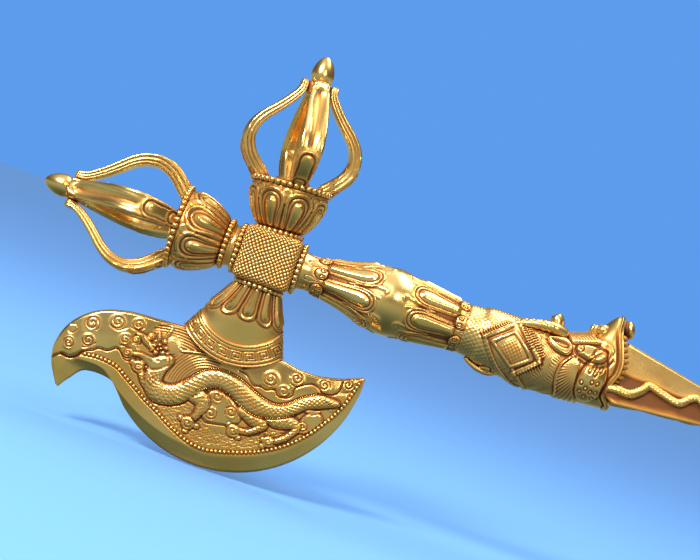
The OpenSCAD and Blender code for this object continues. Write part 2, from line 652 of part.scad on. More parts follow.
module dagger_blade() color(gilt) {
    skin([
        dagger_ring(seat_x + fit, dagger_r * root_share),
        for (d = [0.5, 2.5, 5, 8]) dagger_ring(mouth_x + d, dagger_reach(mouth_x + d)),
        for (t = [0.15 : 0.1 : 1.0001]) dagger_ring(mouth_x + dagger_l * t, dagger_reach(mouth_x + dagger_l * t)),
        dagger_ring(mouth_x + dagger_l, 0.35)
    ]);
    for (turn = [60, 180, 300])
        let (way = smooth(serpent_way, 2), n = len(way) - 1)
            bar([for (p = way) serpent_at(p, turn)], [for (i = [0 : n]) serpent_r * (1 - 0.62 * i / n)],
                [0, sin(turn), cos(turn)], 6);
}

hub_block();
side_inner_beads();
side_collar();
side_outer_beads();
side_bell();
side_rim_beads();
side_prong(3);  // side_prong_front
side_prong(0);  // side_prong_upper
side_prong(1);  // side_prong_rear
side_prong(2);  // side_prong_lower
side_core();
side_bud();
top_beads();
top_bell();
top_rim_beads();
top_prong(3);  // top_prong_front
top_prong(0);  // top_prong_right
top_prong(1);  // top_prong_rear
top_prong(2);  // top_prong_left
top_core();
top_bud();
axe_beads();
axe_socket();
axe_blade();
grip_beads();
grip();
tie_rod();
beast_head();
dagger_blade();
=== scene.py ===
import json
import logging
import math
from dataclasses import dataclass
from enum import Enum
from typing import Callable, Sequence

import bmesh
import bpy
import numpy as np
from mathutils import Matrix, Vector


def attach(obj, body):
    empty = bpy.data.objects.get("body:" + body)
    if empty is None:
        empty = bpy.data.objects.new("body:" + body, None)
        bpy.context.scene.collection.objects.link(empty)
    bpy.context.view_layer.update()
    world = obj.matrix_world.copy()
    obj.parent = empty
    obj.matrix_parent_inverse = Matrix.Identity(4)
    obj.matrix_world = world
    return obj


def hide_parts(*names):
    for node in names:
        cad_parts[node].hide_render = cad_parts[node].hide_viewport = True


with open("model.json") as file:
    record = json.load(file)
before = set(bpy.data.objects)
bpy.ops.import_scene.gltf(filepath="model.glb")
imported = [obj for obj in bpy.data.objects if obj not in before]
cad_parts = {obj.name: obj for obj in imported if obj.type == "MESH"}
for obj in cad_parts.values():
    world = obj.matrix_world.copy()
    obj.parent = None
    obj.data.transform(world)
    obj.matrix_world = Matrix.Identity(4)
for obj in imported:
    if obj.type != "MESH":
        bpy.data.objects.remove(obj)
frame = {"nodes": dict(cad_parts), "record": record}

log = logging.getLogger("ritual_axe")
Path = Sequence[Sequence[float]]
Stops = Sequence[tuple[float, tuple[float, float, float]]]
MM = 0.001
TURN = 2 * math.pi
WELD = 1e-7

# Blurs that find the hollows, where grime settles and painted shade falls
NEAR_PASSES = 10
WIDE_PASSES = 60

# Sizes in millimetres that several pieces share
HUB_HALF = (14.5, 14.0, 13.5)
RING_W = 2.9
SIDE_FOOT = 23.7
TOP_LEAN = 4
TOP_SEAT = HUB_HALF[2] - HUB_HALF[2] * math.sin(math.radians(TOP_LEAN))


class Slot(Enum):
    """The record's material slots."""

    GILT = "gilt"
    COPPER = "copper_gilt"
    STEEL = "rod_steel"


class Side(Enum):
    """Which way a scroll winds, seen on the drawing."""

    LEFT = 1
    RIGHT = -1


def curve(points: Path, steps: int = 6) -> np.ndarray:
    """Draws a smooth line through points.

    Args:
        points: The points that the line passes through.
        steps: How many short lines join two neighbouring points.

    Returns:
        The line's points, one row each.
    """
    p = np.asarray(points, float)
    k = np.arange(len(p) - 1)
    a, b, c, d = (p[np.clip(k + o, 0, len(p) - 1)][:, None, :] for o in (-1, 0, 1, 2))
    t = (np.arange(steps) / steps)[None, :, None]
    line = 0.5 * (2 * b + (c - a) * t + (2 * a - 5 * b + 4 * c - d) * t ** 2
                  + (3 * b - a - 3 * c + d) * t ** 3)
    return np.vstack([line.reshape(-1, p.shape[1]), p[-1:]])


def scroll(at: Sequence[float], size: float, start: float, side: Side, turns: float = 1.6) -> np.ndarray:
    """Draws a spiral that winds in to its own middle.

    Args:
        at: The spiral's middle.
        size: Its outer radius.
        start: Where the outer end lies, in degrees.
        side: Which way it winds.
        turns: How many turns it makes.

    Returns:
        The spiral's points, outer end first.
    """
    t = np.linspace(0, 1, int(18 * turns))
    angle = math.radians(start) + side.value * TURN * turns * t
    radius = size * (1 - t) ** 0.8 + size * 0.1 * t
    return np.stack([at[0] + radius * np.cos(angle), at[1] + radius * np.sin(angle)], axis=1)


def oval(at: Sequence[float], size: float | Sequence[float], count: int = 25) -> np.ndarray:
    """Draws a closed ring of count points: size is its radius, or half its width and half its height."""
    turn = np.linspace(0, TURN, count)
    wide, high = np.broadcast_to(size, (2,))
    return np.stack([at[0] + wide * np.cos(turn), at[1] + high * np.sin(turn)], axis=1)


def way_along(line: np.ndarray) -> np.ndarray:
    """Gives how far each point of a flat line lies from its first one, along the line."""
    return np.concatenate([[0], np.cumsum(np.hypot(*np.diff(line, axis=0).T))])


def every(line: np.ndarray, pitch: float) -> np.ndarray:
    """Gives the points that stand a pitch apart along a flat line, from half a pitch on."""
    way = way_along(line)
    at = np.arange(pitch / 2, way[-1], pitch)
    return np.stack([np.interp(at, way, line[:, 0]), np.interp(at, way, line[:, 1])], axis=1)


def ease(x: np.ndarray) -> np.ndarray:
    """Turns a straight ramp from 0 to 1 into one with soft ends."""
    x = np.clip(x, 0, 1)
    return x * x * (3 - 2 * x)


@dataclass
class Chasing:
    """A sheet of metal seen flat, in millimetres, that tools raise and cut."""

    left: float
    low: float
    right: float
    high: float
    step: float = 0.2
    wraps: bool = False

    def __post_init__(self) -> None:
        """Lays out the sheet's sample points."""
        count = round((self.right - self.left) / self.step)
        self.us = self.left + (self.right - self.left) * np.arange(count + (0 if self.wraps else 1)) / count
        self.vs = np.linspace(self.low, self.high, round((self.high - self.low) / self.step) + 1)
        self.height = np.zeros((len(self.us), len(self.vs)))
        self.grime_and_shade = np.zeros_like(self.height)

    def window(self, low: Sequence[float], high: Sequence[float]) -> tuple[slice, slice]:
        """Gives the samples inside a box, as two slices."""
        u = np.searchsorted(self.us, (low[0], high[0] + 1e-9))
        v = np.searchsorted(self.vs, (low[1], high[1] + 1e-9))
        return slice(*u), slice(*v)

    def shifts(self) -> tuple[float, ...]:
        """Gives the offsets at which a drawing repeats round a wrapped sheet."""
        span = self.right - self.left
        return (-span, 0.0, span) if self.wraps else (0.0,)

    def near(self, path: Path, reach: float | Sequence[float]) -> tuple[np.ndarray, np.ndarray, np.ndarray]:
        """Measures how near each sample lies to a line.

        Args:
            path: The line's points.
            reach: The distance that counts as 1, for the whole line or for each point.

        Returns:
            The distance as a share of reach, the way along the line, and the signed share across it.
        """
        p = np.asarray(path, float)
        wide = np.broadcast_to(np.asarray(reach, float), (len(p),))
        way = way_along(p)
        share = np.full(self.height.shape, 9.0)
        along = np.zeros_like(share)
        across = np.zeros_like(share)
        for shift in self.shifts():
            for k in range(len(p) - 1):
                a = p[k] + (shift, 0)
                b = p[k + 1] + (shift, 0)
                r = max(wide[k], wide[k + 1])
                box = self.window(np.minimum(a, b) - r, np.maximum(a, b) + r)
                u = self.us[box[0], None]
                v = self.vs[None, box[1]]
                if not u.size or not v.size:
                    continue
                d = b - a
                n = max(float(d @ d), 1e-12)
                t = np.clip(((u - a[0]) * d[0] + (v - a[1]) * d[1]) / n, 0, 1)
                eu = u - a[0] - t * d[0]
                ev = v - a[1] - t * d[1]
                s = np.hypot(eu, ev) / (wide[k] + (wide[k + 1] - wide[k]) * t)
                closer = s < share[box]
                share[box] = np.where(closer, s, share[box])
                along[box] = np.where(closer, way[k] + t * math.sqrt(n), along[box])
                across[box] = np.where(closer, np.sign(d[0] * ev - d[1] * eu) * s, across[box])
        return share, along, across

    def inside(self, ring: Path) -> np.ndarray:
        """Tells which samples lie inside a closed outline."""
        p = np.asarray(ring, float)
        found = np.zeros(self.height.shape, bool)
        for shift in self.shifts():
            q = p + (shift, 0)
            box = self.window(q.min(axis=0), q.max(axis=0))
            u = self.us[box[0], None]
            v = self.vs[None, box[1]]
            if not u.size or not v.size:
                continue
            odd = np.zeros((u.shape[0], v.shape[1]), bool)
            for a, b in zip(q, np.roll(q, -1, axis=0)):
                if a[1] == b[1]:
                    continue
                odd ^= ((a[1] > v) != (b[1] > v)) & (u < (b[0] - a[0]) * (v - a[1]) / (b[1] - a[1]) + a[0])
            found[box] |= odd
        return found

    def ridge(self, path: Path, width: float | Sequence[float], rise: float, power: float = 0.8) -> None:
        """Raises a rounded line, or cuts one where rise is below 0."""
        share = self.near(path, np.asarray(width, float) / 2)[0]
        line = np.clip(1 - share ** 2, 0, 1) ** power
        self.height += rise * line
        # A cut line takes grime and painted shade; a raised line wipes them off.
        if rise < 0:
            self.grime_and_shade = np.maximum(self.grime_and_shade, line * 0.75)
        else:
            self.grime_and_shade *= 1 - np.clip(1.4 * line * rise, 0, 1)

    def plate(self, ring: Path, rise: float, bevel: float, power: float = 1.0) -> np.ndarray:
        """Raises or sinks a closed area with a soft edge, and tells what it covers."""
        p = np.asarray(ring, float)
        p = np.vstack([p, p[:1]])
        share = np.clip(self.near(p, bevel)[0], 0, 1)
        cover = np.where(self.inside(p), ease(share) ** power, 0)
        self.height += rise * cover
        return cover

    def clear(self, ring: Path, bevel: float, share: float = 1.0, floor: float = 0.0) -> np.ndarray:
        """Takes down what stands in a closed area, lays it at floor, and tells what it covers."""
        cover = self.plate(ring, 0.0, bevel)
        self.height *= 1 - share * cover
        self.height += floor * cover
        return cover

    def petals(self, mid: float, low: float, rows: Sequence[Sequence[float]]) -> None:
        """Chases lines like nested petals.

        Args:
            mid: The petals' place across the sheet.
            low: Where they stand.
            rows: Each petal's width, height, foot, line width and rise.
        """
        for wide, high, foot, line, rise in rows:
            self.ridge(petal(mid, low, wide, high, foot), line, rise)

    def dome(self, at: Sequence[float], size: float | Sequence[float], rise: float,
             turn: float = 0.0) -> None:
        """Raises a round or oval boss."""
        ru, rv = np.broadcast_to(size, (2,))
        c, s = math.cos(math.radians(turn)), math.sin(math.radians(turn))
        for shift in self.shifts():
            at_u = at[0] + shift
            r = max(ru, rv)
            box = self.window((at_u - r, at[1] - r), (at_u + r, at[1] + r))
            u = self.us[box[0], None] - at_u
            v = self.vs[None, box[1]] - at[1]
            if not u.size or not v.size:
                continue
            inner = 1 - ((u * c + v * s) / ru) ** 2 - ((v * c - u * s) / rv) ** 2
            self.height[box] += rise * np.sqrt(np.clip(inner, 0, 1))

    def boss(self, at: Sequence[float], size: float, rise: float, line: float = 0.6) -> None:
        """Clears a round spot, raises a ball on it and cuts a line round it."""
        ring = oval(at, size)
        clear = self.clear(ring, 0.3, 0.85)
        self.grime_and_shade *= 1 - clear
        self.dome(at, size, rise)
        self.ridge(ring, line, -0.5)

    def hatch(self, cover: np.ndarray, rise: float, along: float, up: float, pitch: float = 1.0) -> None:
        """Adds straight lines side by side where cover says: along and up set their slope."""
        self.carve(cover, lambda u, v: rise * np.sin(TURN * (along * u + up * v) / pitch))

    def carve(self, cover: np.ndarray, pattern: Callable[[np.ndarray, np.ndarray], np.ndarray]) -> None:
        """Adds a pattern of the sheet's own coordinates where cover says."""
        self.height += cover * pattern(self.us[:, None], self.vs[None, :])

    def soften(self, sheet: np.ndarray, passes: int) -> np.ndarray:
        """Blurs a sheet of values a little with each pass."""
        mode = "wrap" if self.wraps else "edge"
        for _ in range(passes):
            for axis in (0, 1):
                pad = [(0, 0), (0, 0)]
                pad[axis] = (1, 1)
                q = np.pad(sheet, pad, mode=mode if axis == 0 else "edge")
                take = [slice(None), slice(None)]
                parts = []
                for o in (0, 1, 2):
                    take[axis] = slice(o, o + sheet.shape[axis])
                    parts.append(q[tuple(take)])
                sheet = (parts[0] + 2 * parts[1] + parts[2]) / 4
        return sheet

    def finish(self, passes: int = 1, depth: float = 0.14) -> "Chasing":
        """Softens the sheet and darkens its hollows with grime and painted shade."""
        self.height = self.soften(self.height, passes)
        near = self.soften(self.height, NEAR_PASSES)
        wide = self.soften(near, WIDE_PASSES)
        hollow = np.maximum((near - self.height) / depth, (wide - self.height) / (4 * depth))
        self.grime_and_shade = np.clip(self.soften(np.maximum(self.grime_and_shade, hollow), 1), 0, 1)
        return self

    def at(self, u: np.ndarray, v: np.ndarray) -> tuple[np.ndarray, np.ndarray]:
        """Reads height and the grime and painted shade value between the samples."""
        n, m = self.height.shape
        fu = (np.asarray(u, float) - self.left) / (self.us[1] - self.us[0])
        fv = np.clip((np.asarray(v, float) - self.low) / (self.vs[1] - self.vs[0]), 0, m - 1.001)
        fu = np.mod(fu, n) if self.wraps else np.clip(fu, 0, n - 1.001)
        i, j = np.floor(fu).astype(int), np.floor(fv).astype(int)
        a, b = fu - i, fv - j
        i, i2 = i % n, (i + 1) % n
        out = []
        for q in (self.height, self.grime_and_shade):
            lower = q[i, j] * (1 - a) + q[i2, j] * a
            upper = q[i, j + 1] * (1 - a) + q[i2, j + 1] * a
            out.append(lower * (1 - b) + upper * b)
        return out[0], out[1]


@dataclass(frozen=True)
class Sketch:
    """A drawing laid over the front face: turned, scaled and placed."""

    x: float
    z: float
    scale: float
    turn: float = 19.64

    def mm(self, points: Path) -> np.ndarray:
        """Gives the drawing's points as x and z in millimetres."""
        p = np.asarray(points, float)
        c, s = math.cos(math.radians(self.turn)), math.sin(math.radians(self.turn))
        return np.stack([
            self.x + self.scale * (p[..., 0] * c + p[..., 1] * s),
            self.z + self.scale * (p[..., 0] * s - p[..., 1] * c),
        ], axis=-1)


def colour_ramp(nodes: bpy.types.Nodes, stops: Stops) -> bpy.types.Node:
    """Adds a colour ramp to a node tree.

    Args:
        nodes: The tree's nodes.
        stops: The place and the colour of each stop.

    Returns:
        The ramp.
    """
    ramp = nodes.new("ShaderNodeValToRGB")
    made = ramp.color_ramp.elements
    while len(made) < len(stops):
        made.new(0.5)
    for stop, (at, colour) in zip(made, stops):
        stop.position = at
        stop.color = (*colour, 1)
    return ramp


@dataclass(frozen=True)
class Gilding:
    """Gilt metal: bright on its heights, brown and rough in its hollows, where grime and painted shade darken
    it.
    """

    name: str
    gold: tuple[float, float, float] = (0.78, 0.46, 0.12)
    pale: tuple[float, float, float] = (0.92, 0.65, 0.25)
    # Amber and brown are the colours of the hollows: grime and painted shade.
    amber: tuple[float, float, float] = (0.64, 0.24, 0.025)
    brown: tuple[float, float, float] = (0.14, 0.032, 0.005)
    gloss: float = 0.25
    reach: float = 0.004
    wear: float = 0.45
    shaded: float = 0.85
    tone_scale: float = 26
    patch_scale: float = 90
    rough_scale: float = 160
    grain_scale: float = 900
    grain: float = 0.12
    grain_depth: float = 0.0004

    def material(self) -> bpy.types.Material:
        """Builds the finish as shader nodes."""
        m = bpy.data.materials.new(self.name)
        m.use_nodes = True
        t = m.node_tree
        n, link = t.nodes, t.links
        shader = n["Principled BSDF"]
        where = n.new("ShaderNodeTexCoord")

        def noise(scale: float, detail: float) -> bpy.types.NodeSocket:
            """Adds a noise pattern on the piece's own coordinates."""
            q = n.new("ShaderNodeTexNoise")
            q.inputs["Scale"].default_value = scale
            q.inputs["Detail"].default_value = detail
            link.new(where.outputs["Object"], q.inputs["Vector"])
            return q.outputs["Fac"]

        def math_node(kind: str, a: object, b: object, clamp: bool = False) -> bpy.types.NodeSocket:
            """Reckons with two sockets or numbers."""
            q = n.new("ShaderNodeMath")
            q.operation = kind
            q.use_clamp = clamp
            for socket, value in zip(q.inputs, (a, b)):
                if isinstance(value, (int, float)):
                    socket.default_value = value
                else:
                    link.new(value, socket)
            return q.outputs[0]

        def ramp(fac: bpy.types.NodeSocket, stops: Stops) -> bpy.types.NodeSocket:
            """Turns a value into colour."""
            q = colour_ramp(n, stops)
            link.new(fac, q.inputs["Fac"])
            return q.outputs["Color"]

        # The mesh's grime value and the ambient occlusion below both darken hollows, browner, rougher and
        # less metallic: grime and painted shade.
        grime_and_shade = n.new("ShaderNodeAttribute")
        grime_and_shade.attribute_name = "grime_and_shade"
        # Ambient occlusion paints shade into crevices and between parts.
        shade = n.new("ShaderNodeAmbientOcclusion")
        shade.inputs["Distance"].default_value = self.reach
        shade.samples = 8
        occlusion_shade = math_node("SUBTRACT", 1.0, shade.outputs["AO"])
        both = math_node("ADD", grime_and_shade.outputs["Fac"], math_node("MULTIPLY", occlusion_shade, self.shaded))
        patchy = math_node("ADD", math_node("MULTIPLY", noise(self.patch_scale, 4), self.wear),
                           0.95 - self.wear / 2)
        deep = math_node("MULTIPLY", both, patchy, clamp=True)
        ground = ramp(noise(self.tone_scale, 3), [(0.3, self.gold), (0.7, self.pale)])
        mix = n.new("ShaderNodeMix")
        mix.data_type = "RGBA"
        link.new(math_node("MULTIPLY", deep, 1.5, clamp=True), mix.inputs["Factor"])
        link.new(ground, mix.inputs[6])
        link.new(ramp(deep, [(0.35, self.amber), (1.0, self.brown)]), mix.inputs[7])
        link.new(mix.outputs[2], shader.inputs["Base Color"])
        rough = math_node("ADD", math_node("MULTIPLY", noise(self.rough_scale, 2), 0.12), self.gloss - 0.06)
        link.new(math_node("ADD", rough, math_node("MULTIPLY", deep, 0.3), clamp=True),
                 shader.inputs["Roughness"])
        link.new(math_node("SUBTRACT", 1.0, math_node("MULTIPLY", deep, 0.4), clamp=True),
                 shader.inputs["Metallic"])
        bump = n.new("ShaderNodeBump")
        bump.inputs["Strength"].default_value = self.grain
        bump.inputs["Distance"].default_value = self.grain_depth
        link.new(noise(self.grain_scale, 3), bump.inputs["Height"])
        link.new(bump.outputs["Normal"], shader.inputs["Normal"])
        return m


FINISH: dict[Slot, bpy.types.Material] = {}


def keep(piece: bpy.types.Object, slot: Slot, *nodes: str) -> bpy.types.Object:
    """Gives a piece its finish and its place on the body, and hides the nodes that it stands for."""
    piece.data.materials.clear()
    piece.data.materials.append(FINISH[slot])
    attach(piece, "root")
    if nodes:
        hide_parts(*nodes)
    log.info("%s: %d faces", piece.name, len(piece.data.polygons))
    return piece


def new_object(name: str, bm: bmesh.types.BMesh) -> bpy.types.Object:
    """Makes a shown object with smooth faces from a bmesh, and frees the bmesh."""
    mesh = bpy.data.meshes.new(name)
    bm.to_mesh(mesh)
    bm.free()
    mesh.polygons.foreach_set("use_smooth", np.ones(len(mesh.polygons), bool))
    piece = bpy.data.objects.new(name, mesh)
    bpy.context.scene.collection.objects.link(piece)
    return piece


def points_of(mesh: bpy.types.Mesh) -> np.ndarray:
    """Reads a mesh's points."""
    flat = np.empty(len(mesh.vertices) * 3)
    mesh.vertices.foreach_get("co", flat)
    return flat.reshape(-1, 3)


def shape(mesh: bpy.types.Mesh, points: np.ndarray, grime_and_shade: np.ndarray) -> None:
    """Moves a mesh's points to places in millimetres, and notes how much grime and painted shade each one
    takes.
    """
    mesh.vertices.foreach_set("co", (points * MM).ravel())
    mesh.attributes.new("grime_and_shade", "FLOAT", "POINT").data.foreach_set("value", grime_and_shade.ravel())


def add_skin(bm: bmesh.types.BMesh, rings: np.ndarray, grime_and_shade: np.ndarray | float = 0.0) -> None:
    """Adds a closed tube over rings of points to a bmesh.

    Args:
        bm: The bmesh that takes the tube.
        rings: Rings by points by xyz, in millimetres.
        grime_and_shade: How much grime and painted shade each point takes, from 0 to 1.
    """
    n, m, _ = rings.shape
    rings = np.concatenate([rings[:1].mean(axis=1, keepdims=True).repeat(m, 1), rings,
                            rings[-1:].mean(axis=1, keepdims=True).repeat(m, 1)])
    grime_and_shade = np.broadcast_to(grime_and_shade, (n, m))
    grime_and_shade = np.concatenate([grime_and_shade[:1], grime_and_shade, grime_and_shade[-1:]])
    rings = np.concatenate([rings, rings[:, :1]], axis=1)
    grime_and_shade = np.concatenate([grime_and_shade, grime_and_shade[:, :1]], axis=1)
    part = bmesh.new()
    bmesh.ops.create_grid(part, x_segments=n + 1, y_segments=m, size=1)
    mesh = bpy.data.meshes.new("sheet")
    part.to_mesh(mesh)
    part.free()
    flat = points_of(mesh)
    i = np.rint((flat[:, 0] + 1) / 2 * (n + 1)).astype(int)
    j = np.rint((flat[:, 1] + 1) / 2 * m).astype(int)
    shape(mesh, rings[i, j], grime_and_shade[i, j])
    part = bmesh.new()
    part.from_mesh(mesh)
    bmesh.ops.remove_doubles(part, verts=part.verts, dist=WELD)
    bmesh.ops.recalc_face_normals(part, faces=part.faces)
    part.to_mesh(mesh)
    part.free()
    if "grime_and_shade" not in bm.verts.layers.float:
        bm.verts.layers.float.new("grime_and_shade")
    bm.from_mesh(mesh)
    bpy.data.meshes.remove(mesh)


def skin(name: str, rings: np.ndarray, grime_and_shade: np.ndarray | float = 0.0) -> bpy.types.Object:
    """Makes one closed tube over rings of points its own object."""
    bm = bmesh.new()
    add_skin(bm, rings, grime_and_shade)
    return new_object(name, bm)


def bar_rings(line: np.ndarray, radii: np.ndarray, sides: int = 14, flat: float = 1.0,
              up: Sequence[float] = (0, 0, 1)) -> np.ndarray:
    """Lays rings round a line in space.

    Args:
        line: The line's points, in millimetres.
        radii: The radius at each point.
        sides: How many points each ring has.
        flat: The ring's depth along up, as a share of its width.
        up: The direction that flat is measured along.

    Returns:
        Rings by points by xyz.
    """
    way = np.gradient(line, axis=0)
    way /= np.linalg.norm(way, axis=1, keepdims=True)
    across = np.cross(way, np.asarray(up, float))
    across /= np.linalg.norm(across, axis=1, keepdims=True)
    rise = np.cross(across, way)
    a = np.linspace(0, TURN, sides, endpoint=False)
    ring = across[:, None] * np.cos(a)[None, :, None] + rise[:, None] * np.sin(a)[None, :, None] * flat
    return line[:, None] + ring * np.asarray(radii)[:, None, None]


def add_bar(bm: bmesh.types.BMesh, points: Path, steps: int, taper: Path, sides: int, grime_and_shade: float,
            hand: int = 1, up: Sequence[float] = (0, 1, 0)) -> None:
    """Adds a tapered bar along a smooth line to a bmesh.

    Args:
        bm: The bmesh that takes the bar.
        points: The points that its middle line passes through.
        steps: How many short lines join two of them.
        taper: Shares of its length, and the radius at each.
        sides: How many points each ring has.
        grime_and_shade: How much grime and painted shade it takes.
        hand: 1, or -1 for the twin on the other flank.
        up: The direction that its rings start from.
    """
    line = curve(points, steps) * (1, hand, 1)
    size = np.interp(np.linspace(0, 1, len(line)), *taper)
    add_skin(bm, bar_rings(line, size, sides, up=up), grime_and_shade)


def spun(radius: np.ndarray, rise: np.ndarray, sides: int) -> np.ndarray:
    """Lays rings round the local Z axis: radius is rings by 1 or rings by sides."""
    a = np.linspace(0, TURN, sides, endpoint=False)[None, :]
    r = np.broadcast_to(radius, (len(rise), sides))
    return np.stack([r * np.cos(a), r * np.sin(a), np.broadcast_to(rise[:, None], r.shape)], axis=-1)


def placed(points: np.ndarray, place: Matrix) -> np.ndarray:
    """Moves points by a matrix in millimetres."""
    m = np.array(place)
    return points @ m[:3, :3].T + m[:3, 3]


def petal(at: float, low: float, wide: float, high: float, foot: float = 0.27) -> np.ndarray:
    """Draws a petal that stands on its narrow foot, with its round end up.

    Args:
        at: The middle's place across the sheet.
        low: The foot's place up the sheet.
        wide: The greatest width.
        high: The height.
        foot: Half the foot's width, as a share of the greatest width.

    Returns:
        The outline from one corner of the foot round to the other.
    """
    half = [(foot, 0), (foot * 0.6 + 0.2, 0.25), (0.46, 0.5), (0.5, 0.72), (0.42, 0.88), (0.24, 0.97), (0, 1)]
    ring = curve([(x, y) for x, y in half] + [(-x, y) for x, y in half[-2::-1]], 5)
    return np.stack([at + ring[:, 0] * wide, low + ring[:, 1] * high], axis=1)


def shingles(u: np.ndarray, v: np.ndarray, pitch: float) -> np.ndarray:
    """Gives overlapping scales as a height from 0 to 1.

    Args:
        u: The way along the body.
        v: The way across it.
        pitch: The size of one scale.

    Returns:
        The height at each place.
    """
    best = np.zeros(np.broadcast(u, v).shape)
    for shift in (0, 0.5):
        fu = (u / pitch + shift) % 1
        fv = (v / pitch + shift) % 1 - 0.5
        best = np.maximum(best, np.where(fu ** 2 + (fv / 0.56) ** 2 < 1, 0.25 + 0.75 * fu, 0))
    return best


@dataclass
class BeadRing:
    """A washer with a row of hand-set beads round it."""

    node: str
    place: Matrix
    ring_r: float
    bead_r: float
    beads: int
    width: float
    hole_r: float

    def build(self) -> None:
        """Makes the washer and its beads one piece."""
        rng = np.random.default_rng(sum(map(ord, self.node)))
        bm = bmesh.new()
        h = self.width / 2
        out = self.ring_r - 0.5
        hole = self.hole_r + 0.1
        wall = np.array([(hole, -h), (out - 0.5, -h), (out, -h * 0.6), (out - 0.25, 0), (out, h * 0.6),
                         (out - 0.5, h), (hole, h)])
        rings = placed(spun(wall[:, :1], wall[:, 1], 96), self.place)
        # The washer, tucked under the beads, takes half grime and painted shade.
        add_skin(bm, rings, 0.5)
        for i in range(self.beads):
            ball = bmesh.ops.create_uvsphere(bm, u_segments=12, v_segments=8, radius=1)["verts"]
            turn = Matrix.Rotation(TURN * i / self.beads, 4, "Z") @ Matrix.Translation((self.ring_r, 0, 0))
            lean = Matrix.Rotation(rng.uniform(-0.25, 0.25), 4, "X")
            size = (self.bead_r * rng.uniform(0.95, 1.06), self.bead_r * rng.uniform(0.94, 1.05),
                    h * rng.uniform(0.88, 0.97))
            spot = Matrix.Scale(MM, 4) @ self.place @ turn @ lean
            for v in ball:
                blunt = Vector([math.copysign(abs(c) ** 0.8, c) * w for c, w in zip(v.co, size)])
                v.co = spot @ blunt
        keep(new_object("dressed_" + self.node, bm), Slot.GILT, self.node)


